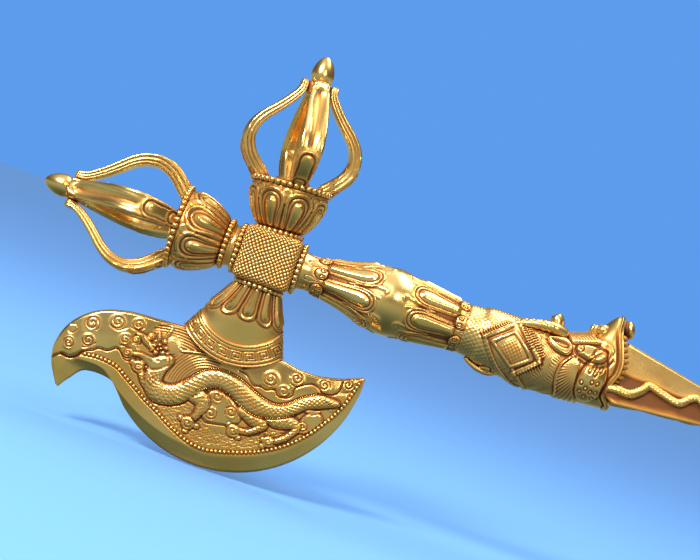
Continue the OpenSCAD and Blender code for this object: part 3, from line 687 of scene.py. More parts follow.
@dataclass
class VajraHead:
    """A lotus bell with a beaded rim, four closing prongs and a bud."""

    name: str
    place: Matrix
    bell_h: float
    prong_h: float
    turn: float
    quarters: tuple[str, str, str, str]
    rim_r: float = 20.2
    rim_w: float = 3.0
    reach: float = 27.4
    prong_w: float = 12.0
    prong_t: float = 7.2
    bud_h: float = 14.0
    bud_r: float = 5.75
    petals: int = 8

    def bell_rings(self) -> tuple[np.ndarray, np.ndarray]:
        """Chases the petals on the bell's wall."""
        h, top = self.bell_h, self.rim_w / 2 + 0.1
        wall = curve([(11.2, 0), (13.6, 2.2), (17.2, h * 0.36), (19, h * 0.62), (19.6, h - 4),
                      (self.rim_r - 0.6, h - top)], 14)
        z = np.linspace(0, h - top, 86)
        radius = np.interp(z, wall[:, 1], wall[:, 0])
        ref = 16.0
        sheet = Chasing(0, 0, TURN * ref, h, wraps=True)
        pitch = TURN * ref / self.petals
        for i in range(self.petals):
            mid = (i + 0.5) * pitch
            sheet.petals(mid, -2, (
                (pitch * 0.86, h - 1.6, 0.34, 1.9, 0.75), (pitch * 0.70, h - 3.2, 0.34, 0.8, -0.45),
                (pitch * 0.62, h - 4.0, 0.34, 0.9, 0.35), (pitch * 0.50, h - 5.3, 0.36, 0.7, -0.4),
            ))
            sheet.plate(petal(mid, -2, pitch * 0.47, h - 5.6, 0.38), 1.25, 2.0)
            edge = i * pitch
            sheet.ridge([(edge, -1), (edge, h * 0.55)], 0.8, -0.6)
            sheet.plate(petal(edge, h * 0.3, pitch * 0.5, h * 0.62, 0.05), 0.3, 1.6)
            for side in (-1, 1):
                leaf = [(edge + side * pitch * wide, h * up)
                        for wide, up in ((0, 0.5), (0.16, 0.66), (0.2, 0.8), (0.1, 0.9), (0, 0.93))]
                sheet.ridge(curve(leaf, 5), 0.5, -0.25)
        sheet.finish()
        sides = 252
        a = np.linspace(0, TURN, sides, endpoint=False)
        rise, grime_and_shade = sheet.at(a[None, :] * ref, z[:, None])
        rise = rise * np.minimum(1, np.minimum(z, h - top - z + 0.4) / 1.2)[:, None]
        rings = spun(radius[:, None] + rise - 0.1, z, sides)
        return rings, grime_and_shade

    def prong_line(self, steps: int) -> np.ndarray:
        """Gives the prong's middle line as distance from the axis and height."""
        r, h = self.reach, self.prong_h
        foot = self.rim_w / 2 + 0.1
        bow = ((0.76, 0.115), (0.9, 0.2), (0.98, 0.29), (1, 0.37), (0.95, 0.475), (0.83, 0.57), (0.66, 0.66),
               (0.49, 0.755), (0.35, 0.85), (0.285, 0.92), (0.285, 1))
        return curve([(r * 0.585, foot)] + [(r * out, h * up) for out, up in bow], steps)

    def prong_rings(self) -> tuple[np.ndarray, np.ndarray]:
        """Sweeps the ribbed section along the prong, with its panel and shields."""
        half = [(0, 0.45), (0.08, 0.45), (0.16, 0.45), (0.24, 0.45), (0.3, 0.45), (0.35, 0.47), (0.4, 0.5),
                (0.45, 0.47), (0.49, 0.4), (0.5, 0.3), (0.48, 0.21), (0.44, 0.15), (0.425, 0.1), (0.45, 0.04),
                (0.465, -0.03), (0.455, -0.1), (0.41, -0.17), (0.39, -0.22), (0.405, -0.29), (0.4, -0.36),
                (0.36, -0.43), (0.29, -0.48), (0.2, -0.5), (0.1, -0.5)]
        section = np.array(half + [(0, -0.5)] + [(-w, t) for w, t in half[:0:-1]])
        line = self.prong_line(12)
        t = np.linspace(0, 1, len(line))
        way = np.gradient(line, axis=0)
        way /= np.linalg.norm(way, axis=1, keepdims=True)
        way[0] = (0, 1)
        out = np.stack([way[:, 1], -way[:, 0]], axis=1)
        gone = way_along(line)
        long = gone[-1]
        wide = self.prong_w * (0.72 + 0.28 * np.sin(math.pi * np.minimum(1, t * 1.05)))
        thick = self.prong_t * (1 - 0.52 * t)
        cap = np.sqrt(np.clip(1 - ((gone - long + 2.2) / 2.3).clip(0, 1) ** 2, 0.02, 1))
        sheet = Chasing(-7, 0, 7, long)
        panel = petal(0, 20.5, 7.4, long - 23.5, 0.3)
        sheet.plate(panel, -1.35, 3.0)
        sheet.ridge(petal(0, 20.5, 7.6, long - 23, 0.3), 0.7, 0.3)
        for low, w, h in ((0.8, 6.0, 6.6), (8.4, 7.4, 11.6)):
            shield = (w + 1.6, h + 1.4, 0.46, 1.1, 0.75), (w + 0.2, h + 0.4, 0.46, 0.7, -0.5)
            sheet.petals(0, low - 1.5, shield)
            sheet.plate(petal(0, low - 1.5, w - 0.6, h - 0.2, 0.46), 0.5, 1.0)
        sheet.finish()
        w = section[None, :, 0] * wide[:, None] * cap[:, None]
        rise, grime_and_shade = sheet.at(w, gone[:, None])
        side, up = section[None, :, 0], section[None, :, 1]
        rise = np.where(up > 0.3, rise, 0)
        # The side grooves take half grime and painted shade.
        groove = np.isin(np.round(np.abs(side), 3), (0.425, 0.39))
        grime_and_shade = np.maximum(np.where(up > 0.3, grime_and_shade, 0), groove * 0.5)
        deep = up * thick[:, None] * (0.6 + 0.4 * cap[:, None])
        leaf = np.zeros_like(deep)
        for at, long_leaf in ((5.0, 9.0), (11.0, 8.0), (16.5, 7.0)):
            s = (gone[:, None] - at - up * 5) / long_leaf
            leaf += np.where((s > 0) & (s < 1), np.sin(math.pi * s.clip(0, 1)) ** 0.5 * s, 0) * 0.5
        flank = (np.abs(side) > 0.4) & (up > 0)
        push = rise + deep
        rings = np.stack([line[:, :1] + out[:, :1] * push, w + np.sign(side) * leaf * flank * 0.8,
                          line[:, 1:] + out[:, 1:] * push], axis=-1)
        return rings, grime_and_shade

    def bud_rings(self) -> np.ndarray:
        """Turns the pointed bud."""
        r, h = self.bud_r, self.bud_h
        half = ((0.8, 0), (0.98, 0.2), (1, 0.36), (0.88, 0.58), (0.62, 0.8), (0.28, 0.95))
        wall = curve([(r * out, h * up) for out, up in half] + [(0.05, h)], 6)
        return spun(wall[:, :1], wall[:, 1] + self.prong_h - 0.5, 56)

    def rim(self) -> BeadRing:
        """Gives the beaded band round the bell's rim."""
        seat = self.place @ Matrix.Translation((0, 0, self.bell_h))
        return BeadRing(f"{self.name}_rim_beads", seat, self.rim_r, 1.45, 40, self.rim_w, 17.65)

    def build(self) -> None:
        """Builds the bell, the prongs and the bud."""
        rings, grime_and_shade = self.bell_rings()
        keep(skin(f"{self.name}_lotus_bell", placed(rings, self.place), grime_and_shade), Slot.GILT, f"{self.name}_bell")
        rim = self.place @ Matrix.Translation((0, 0, self.bell_h))
        rings, grime_and_shade = self.prong_rings()
        for k, quarter in enumerate(self.quarters):
            spin = rim @ Matrix.Rotation(math.radians(self.turn + 90 * k), 4, "Z")
            piece = skin(f"{self.name}_{quarter}_prong", placed(rings, spin), grime_and_shade)
            keep(piece, Slot.GILT, f"{self.name}_prong_{quarter}")
        keep(skin(f"{self.name}_pointed_bud", placed(self.bud_rings(), rim)), Slot.GILT, f"{self.name}_bud")


@dataclass
class WovenHub:
    """The hub block, its faces chased like fine basketwork."""

    edge: float = 3.0
    pitch: float = 1.65
    cuts: int = 118

    def build(self) -> None:
        """Rounds a divided cube and works the weave into it."""
        bm = bmesh.new()
        bmesh.ops.create_cube(bm, size=2)
        bmesh.ops.subdivide_edges(bm, edges=bm.edges, cuts=self.cuts, use_grid_fill=True)
        mesh = bpy.data.meshes.new("block")
        bm.to_mesh(mesh)
        bm.free()
        cube = points_of(mesh)
        half = np.array(HUB_HALF)
        inner = half - self.edge
        core = np.clip(cube * half, -inner, inner)
        out = cube * half - core
        out /= np.linalg.norm(out, axis=1, keepdims=True)
        axis = np.abs(cube).argmax(axis=1)
        x, y, z = (cube * half).T
        a = np.choose(axis, (y, x, x))
        b = np.choose(axis, (z, z, y))
        p = (a * 0.80 + b * 0.60) / self.pitch
        q = (a * -0.64 + b * 0.77) / self.pitch
        p = p + 0.12 * np.sin(b * 0.55)
        q = q + 0.12 * np.sin(a * 0.5 + 1)
        stud = (np.abs(np.sin(math.pi * p)) * np.abs(np.sin(math.pi * q))) ** 0.5
        bulge = 0.5 * np.cos(math.pi / 2 * a / 14).clip(0) * np.cos(math.pi / 2 * b / 14).clip(0)
        spots = core + out * (self.edge - 0.45 + 0.62 * stud + bulge)[:, None]
        # The grooves between the studs take grime and painted shade; the stud tops stay bright.
        shape(mesh, spots, np.clip(1.35 - stud * 1.7, 0.1, 1))
        bm = bmesh.new()
        bm.from_mesh(mesh)
        bmesh.ops.recalc_face_normals(bm, faces=bm.faces)
        bpy.data.meshes.remove(mesh)
        keep(new_object("woven_hub", bm), Slot.COPPER, "hub_block")


@dataclass
class CrescentAxe:
    """The fretted socket, and the blade with its dragon between cloud and sea."""

    foot_z: float = -16.4
    shoulder_z: float = -45.2
    socket_x: float = -2.5
    mouth_r: float = 35.2
    fret_w: float = 10.6
    blade_h: float = 64.5
    blade_w: float = 66.5
    thick: float = 8.0
    edge_thick: float = 1.4
    bevel: float = 9.0
    rim_r: float = 1.4
    petals: int = 12
    dot: float = 0.1244
    sketch: Sketch = Sketch(-98.48, -54.46, 0.124435)
    rows: tuple[Path, ...] = (
        ((150, 234), (180, 240), (215, 250), (250, 265), (290, 290), (315, 320), (345, 355), (370, 385),
         (400, 420), (440, 460), (480, 505), (520, 545), (560, 580), (610, 610), (660, 624), (720, 629),
         (790, 631), (850, 628), (900, 620), (950, 607), (1000, 588), (1060, 556), (1110, 520), (1160, 480),
         (1200, 440), (1235, 390), (1262, 352)),
    )
    spines: tuple[Path, ...] = (
        ((548, 356), (600, 318), (650, 298), (712, 300), (780, 334), (846, 392), (900, 430), (960, 440),
         (1020, 414), (1090, 396)),
        ((606, 384), (650, 372), (690, 372), (736, 398), (786, 446), (836, 482), (890, 492), (940, 492),
         (1000, 480)),
    )

    @property
    def mouth_z(self) -> float:
        """The height of the mouth arc's middle."""
        return self.shoulder_z - 11.1 + self.mouth_r

    def clouds(self, sheet: Chasing, at: Callable[[Path], np.ndarray]) -> None:
        """Chases the cloud plate, its scrolls and the beak's mouth."""
        low = curve([(20, 250), (66, 236), (100, 248), (150, 226), (190, 222), (215, 214), (250, 224),
                     (288, 214), (308, 240), (330, 254), (352, 236), (385, 232)], 4)
        side = [(372, 196), (352, 172), (378, 150), (402, 162), (428, 142), (462, 128), (560, 110),
                (560, 20), (20, 20)]
        sheet.plate(np.vstack([at(low), at(side)]), 0.8, 1.6)
        sheet.ridge(at(low), 0.8, -0.5)
        edge = curve([(777, 303), (807, 320), (833, 362), (861, 367), (885, 381), (920, 381), (931, 405),
                      (964, 414), (991, 402), (1000, 375), (1035, 362), (1068, 358), (1094, 372),
                      (1111, 395), (1147, 402), (1176, 388), (1193, 353)], 4)
        side = [(1224, 336), (1258, 327), (1271, 300), (1154, 290), (1024, 270), (951, 230), (860, 250)]
        sheet.plate(np.vstack([at(edge), at(side)]), 0.7, 1.4)
        sheet.ridge(at(edge), 0.8, -0.5)
        sheet.ridge(at(curve([(62, 232), (90, 248), (122, 246), (152, 226)], 5)), 1.2, -0.9)
        for puff in (
            [(640, 512), (618, 470), (640, 400), (684, 374), (722, 392), (764, 430), (790, 486), (752, 524)],
            [(1000, 556), (1004, 520), (1044, 476), (1086, 466), (1112, 488), (1108, 520), (1060, 556)],
        ):
            ring = at(curve(puff + puff[:1], 4))
            sheet.plate(ring, 0.8, 1.4)
            sheet.ridge(ring, 0.7, -0.4)
        for line in ([(104, 116), (126, 116), (130, 134), (108, 150), (94, 140)],
                     [(262, 120), (290, 140), (330, 130)], [(345, 130), (372, 142), (400, 132)],
                     [(150, 208), (176, 206), (204, 190)], [(300, 200), (330, 206), (348, 190)],
                     [(304, 226), (318, 262), (352, 262), (372, 236)],
                     [(870, 358), (900, 372), (930, 352)], [(940, 410), (970, 402), (982, 376)],
                     [(985, 356), (1010, 368), (1036, 352)], [(640, 396), (660, 384), (690, 374)],
                     [(722, 396), (742, 440), (724, 452)], [(1190, 390), (1216, 392), (1240, 372)]):
            sheet.ridge(at(curve(line, 5)), 0.75, -0.4)
        for x, y, r, start, side in (
            (190, 112, 32, 60, Side.RIGHT), (174, 180, 25, 200, Side.RIGHT), (95, 190, 24, 200, Side.LEFT),
            (292, 106, 30, 170, Side.RIGHT), (376, 118, 25, 190, Side.RIGHT), (322, 178, 24, 120, Side.RIGHT),
            (368, 180, 22, 60, Side.RIGHT), (330, 240, 26, 330, Side.LEFT), (440, 168, 15, 200, Side.LEFT),
            (905, 335, 31, 200, Side.RIGHT), (955, 386, 24, 20, Side.LEFT), (1008, 334, 27, 200, Side.LEFT),
            (1118, 362, 25, 20, Side.RIGHT), (1214, 360, 24, 200, Side.LEFT), (690, 406, 27, 160, Side.LEFT),
            (662, 474, 26, 340, Side.LEFT), (745, 468, 26, 160, Side.LEFT), (1030, 530, 24, 200, Side.LEFT),
        ):
            sheet.dome(at((x, y)), r * self.dot + 0.5, 0.5)
            sheet.ridge(at(scroll((x, y), r, start, side)), 0.85, -0.55)

    def sea(self, sheet: Chasing, at: Callable[[Path], np.ndarray]) -> None:
        """Combs the waves behind the dragon, and pricks the ground under it."""
        for middle, area in (
            ((640, 400), [(505, 236), (560, 232), (705, 262), (705, 300), (640, 296), (590, 318), (540, 368),
                          (486, 334), (470, 292), (498, 262)]),
            ((420, 520), [(428, 132), (470, 108), (560, 112), (620, 200), (640, 236), (540, 222), (548, 190),
                          (520, 158), (470, 150)]),
        ):
            mid = at(middle)
            wave = sheet.plate(at(area), 0.0, 0.6)
            sheet.carve(wave, lambda u, v: 0.32 * np.sin(TURN * np.hypot(u - mid[0], v - mid[1]) / 1.35))
        rng = np.random.default_rng(7)
        ground = at([(410, 424), (560, 430), (640, 520), (760, 580), (880, 540), (1000, 560), (860, 606),
                     (720, 612), (600, 585), (500, 505)])
        low, high = ground.min(axis=0), ground.max(axis=0)
        inside = sheet.inside(ground) & (sheet.height < 0.12)
        for row, u in enumerate(np.arange(low[0], high[0], 1.3)):
            for v in np.arange(low[1], high[1], 1.6):
                spot = (u + rng.uniform(-0.35, 0.35), v + row % 2 * 0.8 + rng.uniform(-0.35, 0.35))
                i, j = np.searchsorted(sheet.us, spot[0]), np.searchsorted(sheet.vs, spot[1])
                if i < len(sheet.us) and j < len(sheet.vs) and inside[i, j]:
                    sheet.dome(spot, 0.5, -0.45)

    def limb(self, sheet: Chasing, path: Path, half: Sequence[float], rise: float, scales: float = 0.0,
             steps: int = 8) -> np.ndarray:
        """Lays a rounded body or leg over what is there, with a cut all round it.

        Args:
            sheet: The sheet that takes it.
            path: Its middle line.
            half: Half its width at each of those points.
            rise: Its height.
            scales: The size of its scales, or 0 for a smooth one.
            steps: How finely the middle line is drawn.

        Returns:
            The samples that it covers.
        """
        line = curve(path, steps)
        wide = curve(np.asarray(half, float)[:, None], steps)[:, 0]
        share, along, across = sheet.near(line, wide * 1.25)
        share = share * 1.25
        sheet.height -= 0.5 * np.exp(-((share - 1.05) / 0.1) ** 2)
        body = rise * np.sqrt(np.clip(1 - share ** 2, 0, 1)) ** 0.8
        cover = share < 1
        if scales:
            tile = shingles(along, across * 1.25 * wide.mean(), scales)
            body = body + 1.1 * tile * np.clip(1.5 - share, 0, 1)
            # The gaps between scales take grime and painted shade.
            sheet.grime_and_shade = np.maximum(sheet.grime_and_shade, cover * np.clip(0.75 - 1.5 * tile, 0, 0.6))
        sheet.height = np.where(cover, np.maximum(body, sheet.height * 0.2 + body * 0.9), sheet.height)
        return cover

    def dragon(self, sheet: Chasing, at: Callable[[Path], np.ndarray]) -> None:
        """Chases the scaled dragon: body, legs, claws, mane and head."""
        k = self.dot
        for path, half, rise in (
            ([(1040, 452), (1070, 470), (1100, 468)], (16, 12, 5), 0.6),
            ([(900, 466), (926, 500), (992, 516), (1006, 536), (960, 572), (900, 592)],
             (30, 34, 24, 16, 13, 12), 1.1),
            ([(800, 462), (836, 500), (872, 524), (812, 548), (768, 540)], (30, 28, 18, 13, 13), 1.1),
            ([(596, 392), (632, 430), (612, 470), (584, 498)], (36, 30, 18, 14), 1.1),
            ([(448, 392), (408, 356), (388, 318), (376, 292)], (30, 22, 15, 13), 1.1),
        ):
            self.limb(sheet, at(path), np.array(half) * k, rise, 2.2 if len(half) > 3 else 0)
        body = at([(498, 262), (450, 296), (432, 344), (452, 388), (520, 398), (590, 366), (645, 338),
                   (702, 338), (760, 368), (812, 418), (862, 450), (920, 466), (980, 458), (1040, 434),
                   (1100, 428), (1168, 436)])
        half = np.array((20, 34, 36, 42, 40, 36, 36, 36, 38, 42, 38, 30, 27, 26, 28, 14)) * k
        self.limb(sheet, body, half, 1.35, 2.5)
        for line in self.spines:
            sheet.ridge(at(curve(line, 8)), 1.5, -0.45)
        fin = at([(1088, 398), (1196, 396), (1222, 410), (1186, 470), (1130, 472), (1140, 440)])
        sheet.hatch(sheet.plate(fin, 0.35, 0.8), 0.18, 0.8, 1.1, 1.3)
        for x, y, r, toes in (
            (570, 512, 25, ((542, 492), (604, 526), (560, 542))),
            (752, 544, 25, ((736, 520), (770, 570), (786, 546))),
            (892, 588, 21, ((868, 604), (910, 610), (874, 580))),
            (372, 286, 23, ((352, 270), (392, 270))),
        ):
            for toe in toes:
                sheet.boss(at(toe), 1.8, 0.9)
            sheet.boss(at((x, y)), r * k + 0.5, 1.2, 0.8)
            sheet.ridge(at(scroll((x, y), r * 0.7, 40, Side.LEFT, 1.1)), 0.7, -0.6)
        leaf = [(399, 276), (424, 292), (432, 330), (428, 362), (410, 340), (398, 308), (399, 276)]
        leaf = at(curve(leaf, 4))
        sheet.hatch(sheet.plate(leaf, 0.45, 0.7), 0.16, 0.5, 1, 1.2)
        mane = at(oval((508, 203), (28, 30)))
        sheet.clear(mane, 0.5, 0.8)
        sheet.hatch(sheet.plate(mane, 0.55, 1.0), 0.2, 1, -0.6, 1.2)
        sheet.ridge(mane, 0.9, 0.45)
        snout = [(374, 158), (392, 166), (408, 188), (432, 216)]
        jaw = [(340, 234), (362, 236), (385, 240), (409, 256), (436, 274), (474, 264)]
        for path, half, rise in (([(547, 224), (596, 229), (645, 236)], (6, 6, 4), 0.8),
                                 ([(482, 172), (498, 152), (512, 128)], (8, 7, 3), 0.8),
                                 ([(457, 178), (457, 164), (458, 148)], (7, 9, 5), 0.8),
                                 (snout, (11, 13, 15, 9), 1.25), (jaw, (9, 10, 11, 15, 24, 26), 1.2)):
            self.limb(sheet, at(path), np.array(half) * k, rise)
        for x, y, r, start, side in ((365, 179, 20, 280, Side.RIGHT), (331, 230, 22, 300, Side.RIGHT),
                                     (427, 167, 17, 90, Side.RIGHT)):
            sheet.boss(at((x, y)), r * k, 1.2)
            sheet.ridge(at(scroll((x, y), r * 0.8, start, side, 1.5)), 0.8, -0.7)
        for x, y, r in ((438, 201, 11), (459, 199, 8), (480, 188, 12), (443, 230, 11), (471, 232, 11),
                        (424, 221, 7), (452, 217, 7), (464, 214, 7), (485, 214, 10), (490, 236, 9)):
            sheet.boss(at((x, y)), r * k, 1.3)
        sheet.dome(at((452, 262)), 0.8, -0.5)

    def drawing(self) -> Chasing:
        """Chases the whole blade, seen from the front."""
        sheet = Chasing(-89, -113, 68, -38)
        at = self.sketch.mm
        self.clouds(sheet, at)
        self.sea(sheet, at)
        self.dragon(sheet, at)
        row = curve(at(self.rows[0]), 4)
        share = sheet.near(row, 1.5)[0]
        sheet.height = np.where(share < 1, sheet.height * np.clip(share, 0, 1) ** 2, sheet.height)
        sheet.ridge(row, 3.0, -0.4)
        return sheet.finish(1, 0.15)

    def pearls(self, bm: bmesh.types.BMesh, rings: np.ndarray, line: Path, pitch: float, size: float) -> None:
        """Sets round pearls along a drawn line, half sunk in the blade's face."""
        face = rings[:, :180].reshape(-1, 3)
        for x, z in every(curve(self.sketch.mm(line), 6), pitch):
            spot = face[np.argmin((face[:, 0] - x) ** 2 + (face[:, 2] - z) ** 2)]
            place = Matrix.Translation(Vector((x, spot[1] * (1 + size * 0.25 / abs(spot[1])), z)) * MM)
            bmesh.ops.create_uvsphere(bm, u_segments=8, v_segments=6, radius=size * MM, matrix=place)

    def blade_half(self, sheet: Chasing, hand: int) -> np.ndarray:
        """Lays rings over one half of the blade, from its beak to its horn."""
        beak = [(-1.17, 0.78), (-1.11, 0.69), (-1.01, 0.59)]
        back = [(-1.2, 0.76), (-1.28, 0.61), (-1.3, 0.46), (-1.24, 0.28), (-1.09, 0.13), (-0.87, 0.05),
                (-0.6, 0.025), (-0.3, 0.005), (0, 0), (0.3, 0), (0.51, 0.03), (0.66, 0.025), (0.81, -0.01),
                (0.91, -0.05), (0.97, -0.075)]
        drop = 2.0
        deep = self.blade_h + drop
        arc = [(-0.5 + self.blade_w * math.sin(a), self.shoulder_z + drop - deep * math.cos(a))
               for a in map(math.radians, (-52, -40, -27, -13, 1, 15, 29, 43, 57, 71, 84, 92))]
        beak, back = ([(x * self.blade_w, self.shoulder_z - z * self.blade_h) for x, z in part]
                      for part in (beak, back))
        edge, back = curve(beak + arc, 30), curve(back, 30)
        way = back - edge
        wide = np.hypot(*way.T)[:, None]
        ramp = np.minimum(0.5, self.bevel / wide)
        s = np.concatenate([ramp * np.linspace(0, 0.9, 7)[None, :],
                            ramp + (1 - ramp) * np.linspace(0, 1, 176)[None, :]], axis=1)
        spot = edge[:, None] + way[:, None] * s[..., None]
        full = self.thick / 2 * np.minimum(1, 0.35 + wide / 40)
        keen = self.edge_thick / 2
        ground = keen + (full * 0.92 - keen) * s / ramp
        plain = full * (0.92 + 0.08 * (s - ramp) / (0.75 - ramp))
        thinned = full * (1 - 0.28 * ease((s - 0.75) / 0.25))
        half = np.where(s < ramp, ground, np.where(s < 0.75, plain, thinned))
        rim = np.minimum((1 - s) * wide, self.rim_r)
        half = half - self.rim_r + np.sqrt(np.clip(self.rim_r ** 2 - (self.rim_r - rim) ** 2, 0, None))
        rise, grime_and_shade = sheet.at(spot[..., 0], spot[..., 1])
        rise *= np.clip(np.minimum(s, 1 - s) * wide / 1.2, 0, 1)
        front = np.stack([spot[..., 0], hand * (half + rise), spot[..., 1]], axis=-1)
        inner = np.stack([front[:, k] * (1, 0, 1) for k in (-1, 90, 0)], axis=1)
        self.grime_and_shade = np.concatenate([grime_and_shade, np.zeros((len(grime_and_shade), 3))], axis=1)
        return np.concatenate([front, inner], axis=1)

    def fret(self) -> Chasing:
        """Chases the meander band along the mouth, seen from the front."""
        sheet = Chasing(-32, -58, 26, -24)
        u = sheet.us[:, None] - self.socket_x
        v = sheet.vs[None, :] - self.mouth_z
        deep = self.mouth_r - np.hypot(u, v)

        def rim(at: float, w: float) -> np.ndarray:
            """Gives a rounded line that runs at a distance from the mouth."""
            return np.clip(1 - ((deep - at) / (w / 2)) ** 2, 0, 1)

        sheet.height += 0.75 * (1 - ease((deep - self.fret_w + 0.3) / 0.9))
        sheet.height -= 0.35 * rim(1.5, 0.8) + 0.35 * rim(9.4, 0.8) + 0.25 * rim(8.6, 0.6)
        sheet.height += 0.35 * rim(0.5, 1.4)
        unit = 7.6 / self.mouth_r * 57.3 * 1.08
        key = [(0.0, 0.1), (0.0, 1.0), (0.86, 1.0), (0.86, 0.12), (0.2, 0.12), (0.2, 0.78), (0.66, 0.78),
               (0.66, 0.36), (0.42, 0.36), (0.42, 0.56)]
        for k in range(-4, 4):
            for a, b in zip(key, key[1:]):
                ends = []
                for x, y in (a, b):
                    r = self.mouth_r - 2.6 - 5.2 * y
                    t = math.radians((k + 0.5 + x - 0.43) * unit)
                    ends.append((self.socket_x + r * math.sin(t), self.mouth_z - r * math.cos(t)))
                sheet.ridge(ends, 0.62, -0.45, 0.6)
        return sheet.finish(1, 0.13)

    def socket(self) -> tuple[np.ndarray, np.ndarray]:
        """Lays rings from the round neck to the mouth, with petals round the neck."""
        steps = curve([(0, 11.3, 11), (0.25, 15, 11), (0.5, 19.2, 10.4), (0.75, 22.6, 9.6), (1, 25.7, 8.8),
                       (1.5, 31.6, 7.6)], 24)
        sides, rows = 300, 190
        a = np.linspace(0, TURN, sides, endpoint=False) - math.pi / 2
        end = np.ones(sides)
        for _ in range(40):
            x = self.socket_x * np.minimum(1, end) + np.interp(end, steps[:, 0], steps[:, 1]) * np.cos(a)
            z = self.mouth_z - np.sqrt(np.clip(self.mouth_r ** 2 - (x - self.socket_x) ** 2, 1, None))
            end = 0.5 * end + 0.5 * (self.foot_z - z) / (self.foot_z - self.shoulder_z)
        s = np.linspace(0, 1, rows)[:, None] * end[None, :]
        z = self.foot_z + (self.shoulder_z - self.foot_z) * s
        hx, hy = (np.interp(s, steps[:, 0], steps[:, k]) for k in (1, 2))
        ref = 12
        neck = Chasing(0, 0, TURN * ref, 40, wraps=True)
        pitch = TURN * ref / self.petals
        for k in range(self.petals):
            mid = (k + 0.1) * pitch
            neck.plate(petal(mid, -1, pitch * 0.97, 17.6, 0.42), 0.75, 0.9)
            lines = (pitch * 0.86, 16.9, 0.42, 1.1, 0.35), (pitch * 0.64, 15.3, 0.42, 0.8, -0.4)
            neck.petals(mid, -1, lines)
            neck.plate(petal(mid, -1, pitch * 0.5, 14.6, 0.46), 1.1, 1.5)
            tip = mid + pitch / 2
            neck.ridge([(tip, -1), (tip, 13.5)], 0.7, -0.5)
        neck.finish()
        rise, grime_and_shade = neck.at((a[None, :] + math.pi / 2) * ref, self.foot_z - z)
        x = self.socket_x * np.minimum(1, s) + hx * np.cos(a)[None, :]
        more, dark = self.fret().at(x, z)
        edge = np.clip((end[None, :] - s) * (self.foot_z - self.shoulder_z) / 0.7, 0, 1)
        push = rise + more * ease(edge * 0.7 + 0.3) - 0.35 * (1 - edge) ** 2
        rings = np.stack([x + push * np.cos(a), (hy + push) * np.sin(a), z], axis=-1)
        # The lip that closes the mouth takes full grime and painted shade.
        lip = rings[-1:].copy()
        lip[..., 1] = np.clip(lip[..., 1], -3.4, 3.4)
        return np.concatenate([rings, lip]), np.concatenate([np.maximum(grime_and_shade, dark), np.ones((1, sides))])

    def build(self) -> None:
        """Builds the socket and both halves of the blade."""
        keep(skin("fretted_socket", *self.socket()), Slot.GILT, "axe_socket")
        sheet = self.drawing()
        for name, hand, nodes in (("dragon_blade_front", -1, ("axe_blade",)), ("dragon_blade_rear", 1, ())):
            rings = self.blade_half(sheet, hand)
            bm = bmesh.new()
            for row in self.rows:
                self.pearls(bm, rings, row, 2.15, 1.08)
            for row in self.spines:
                self.pearls(bm, rings, row, 1.15, 0.48)
            add_skin(bm, rings, self.grime_and_shade)
            keep(new_object(name, bm), Slot.GILT, *nodes)


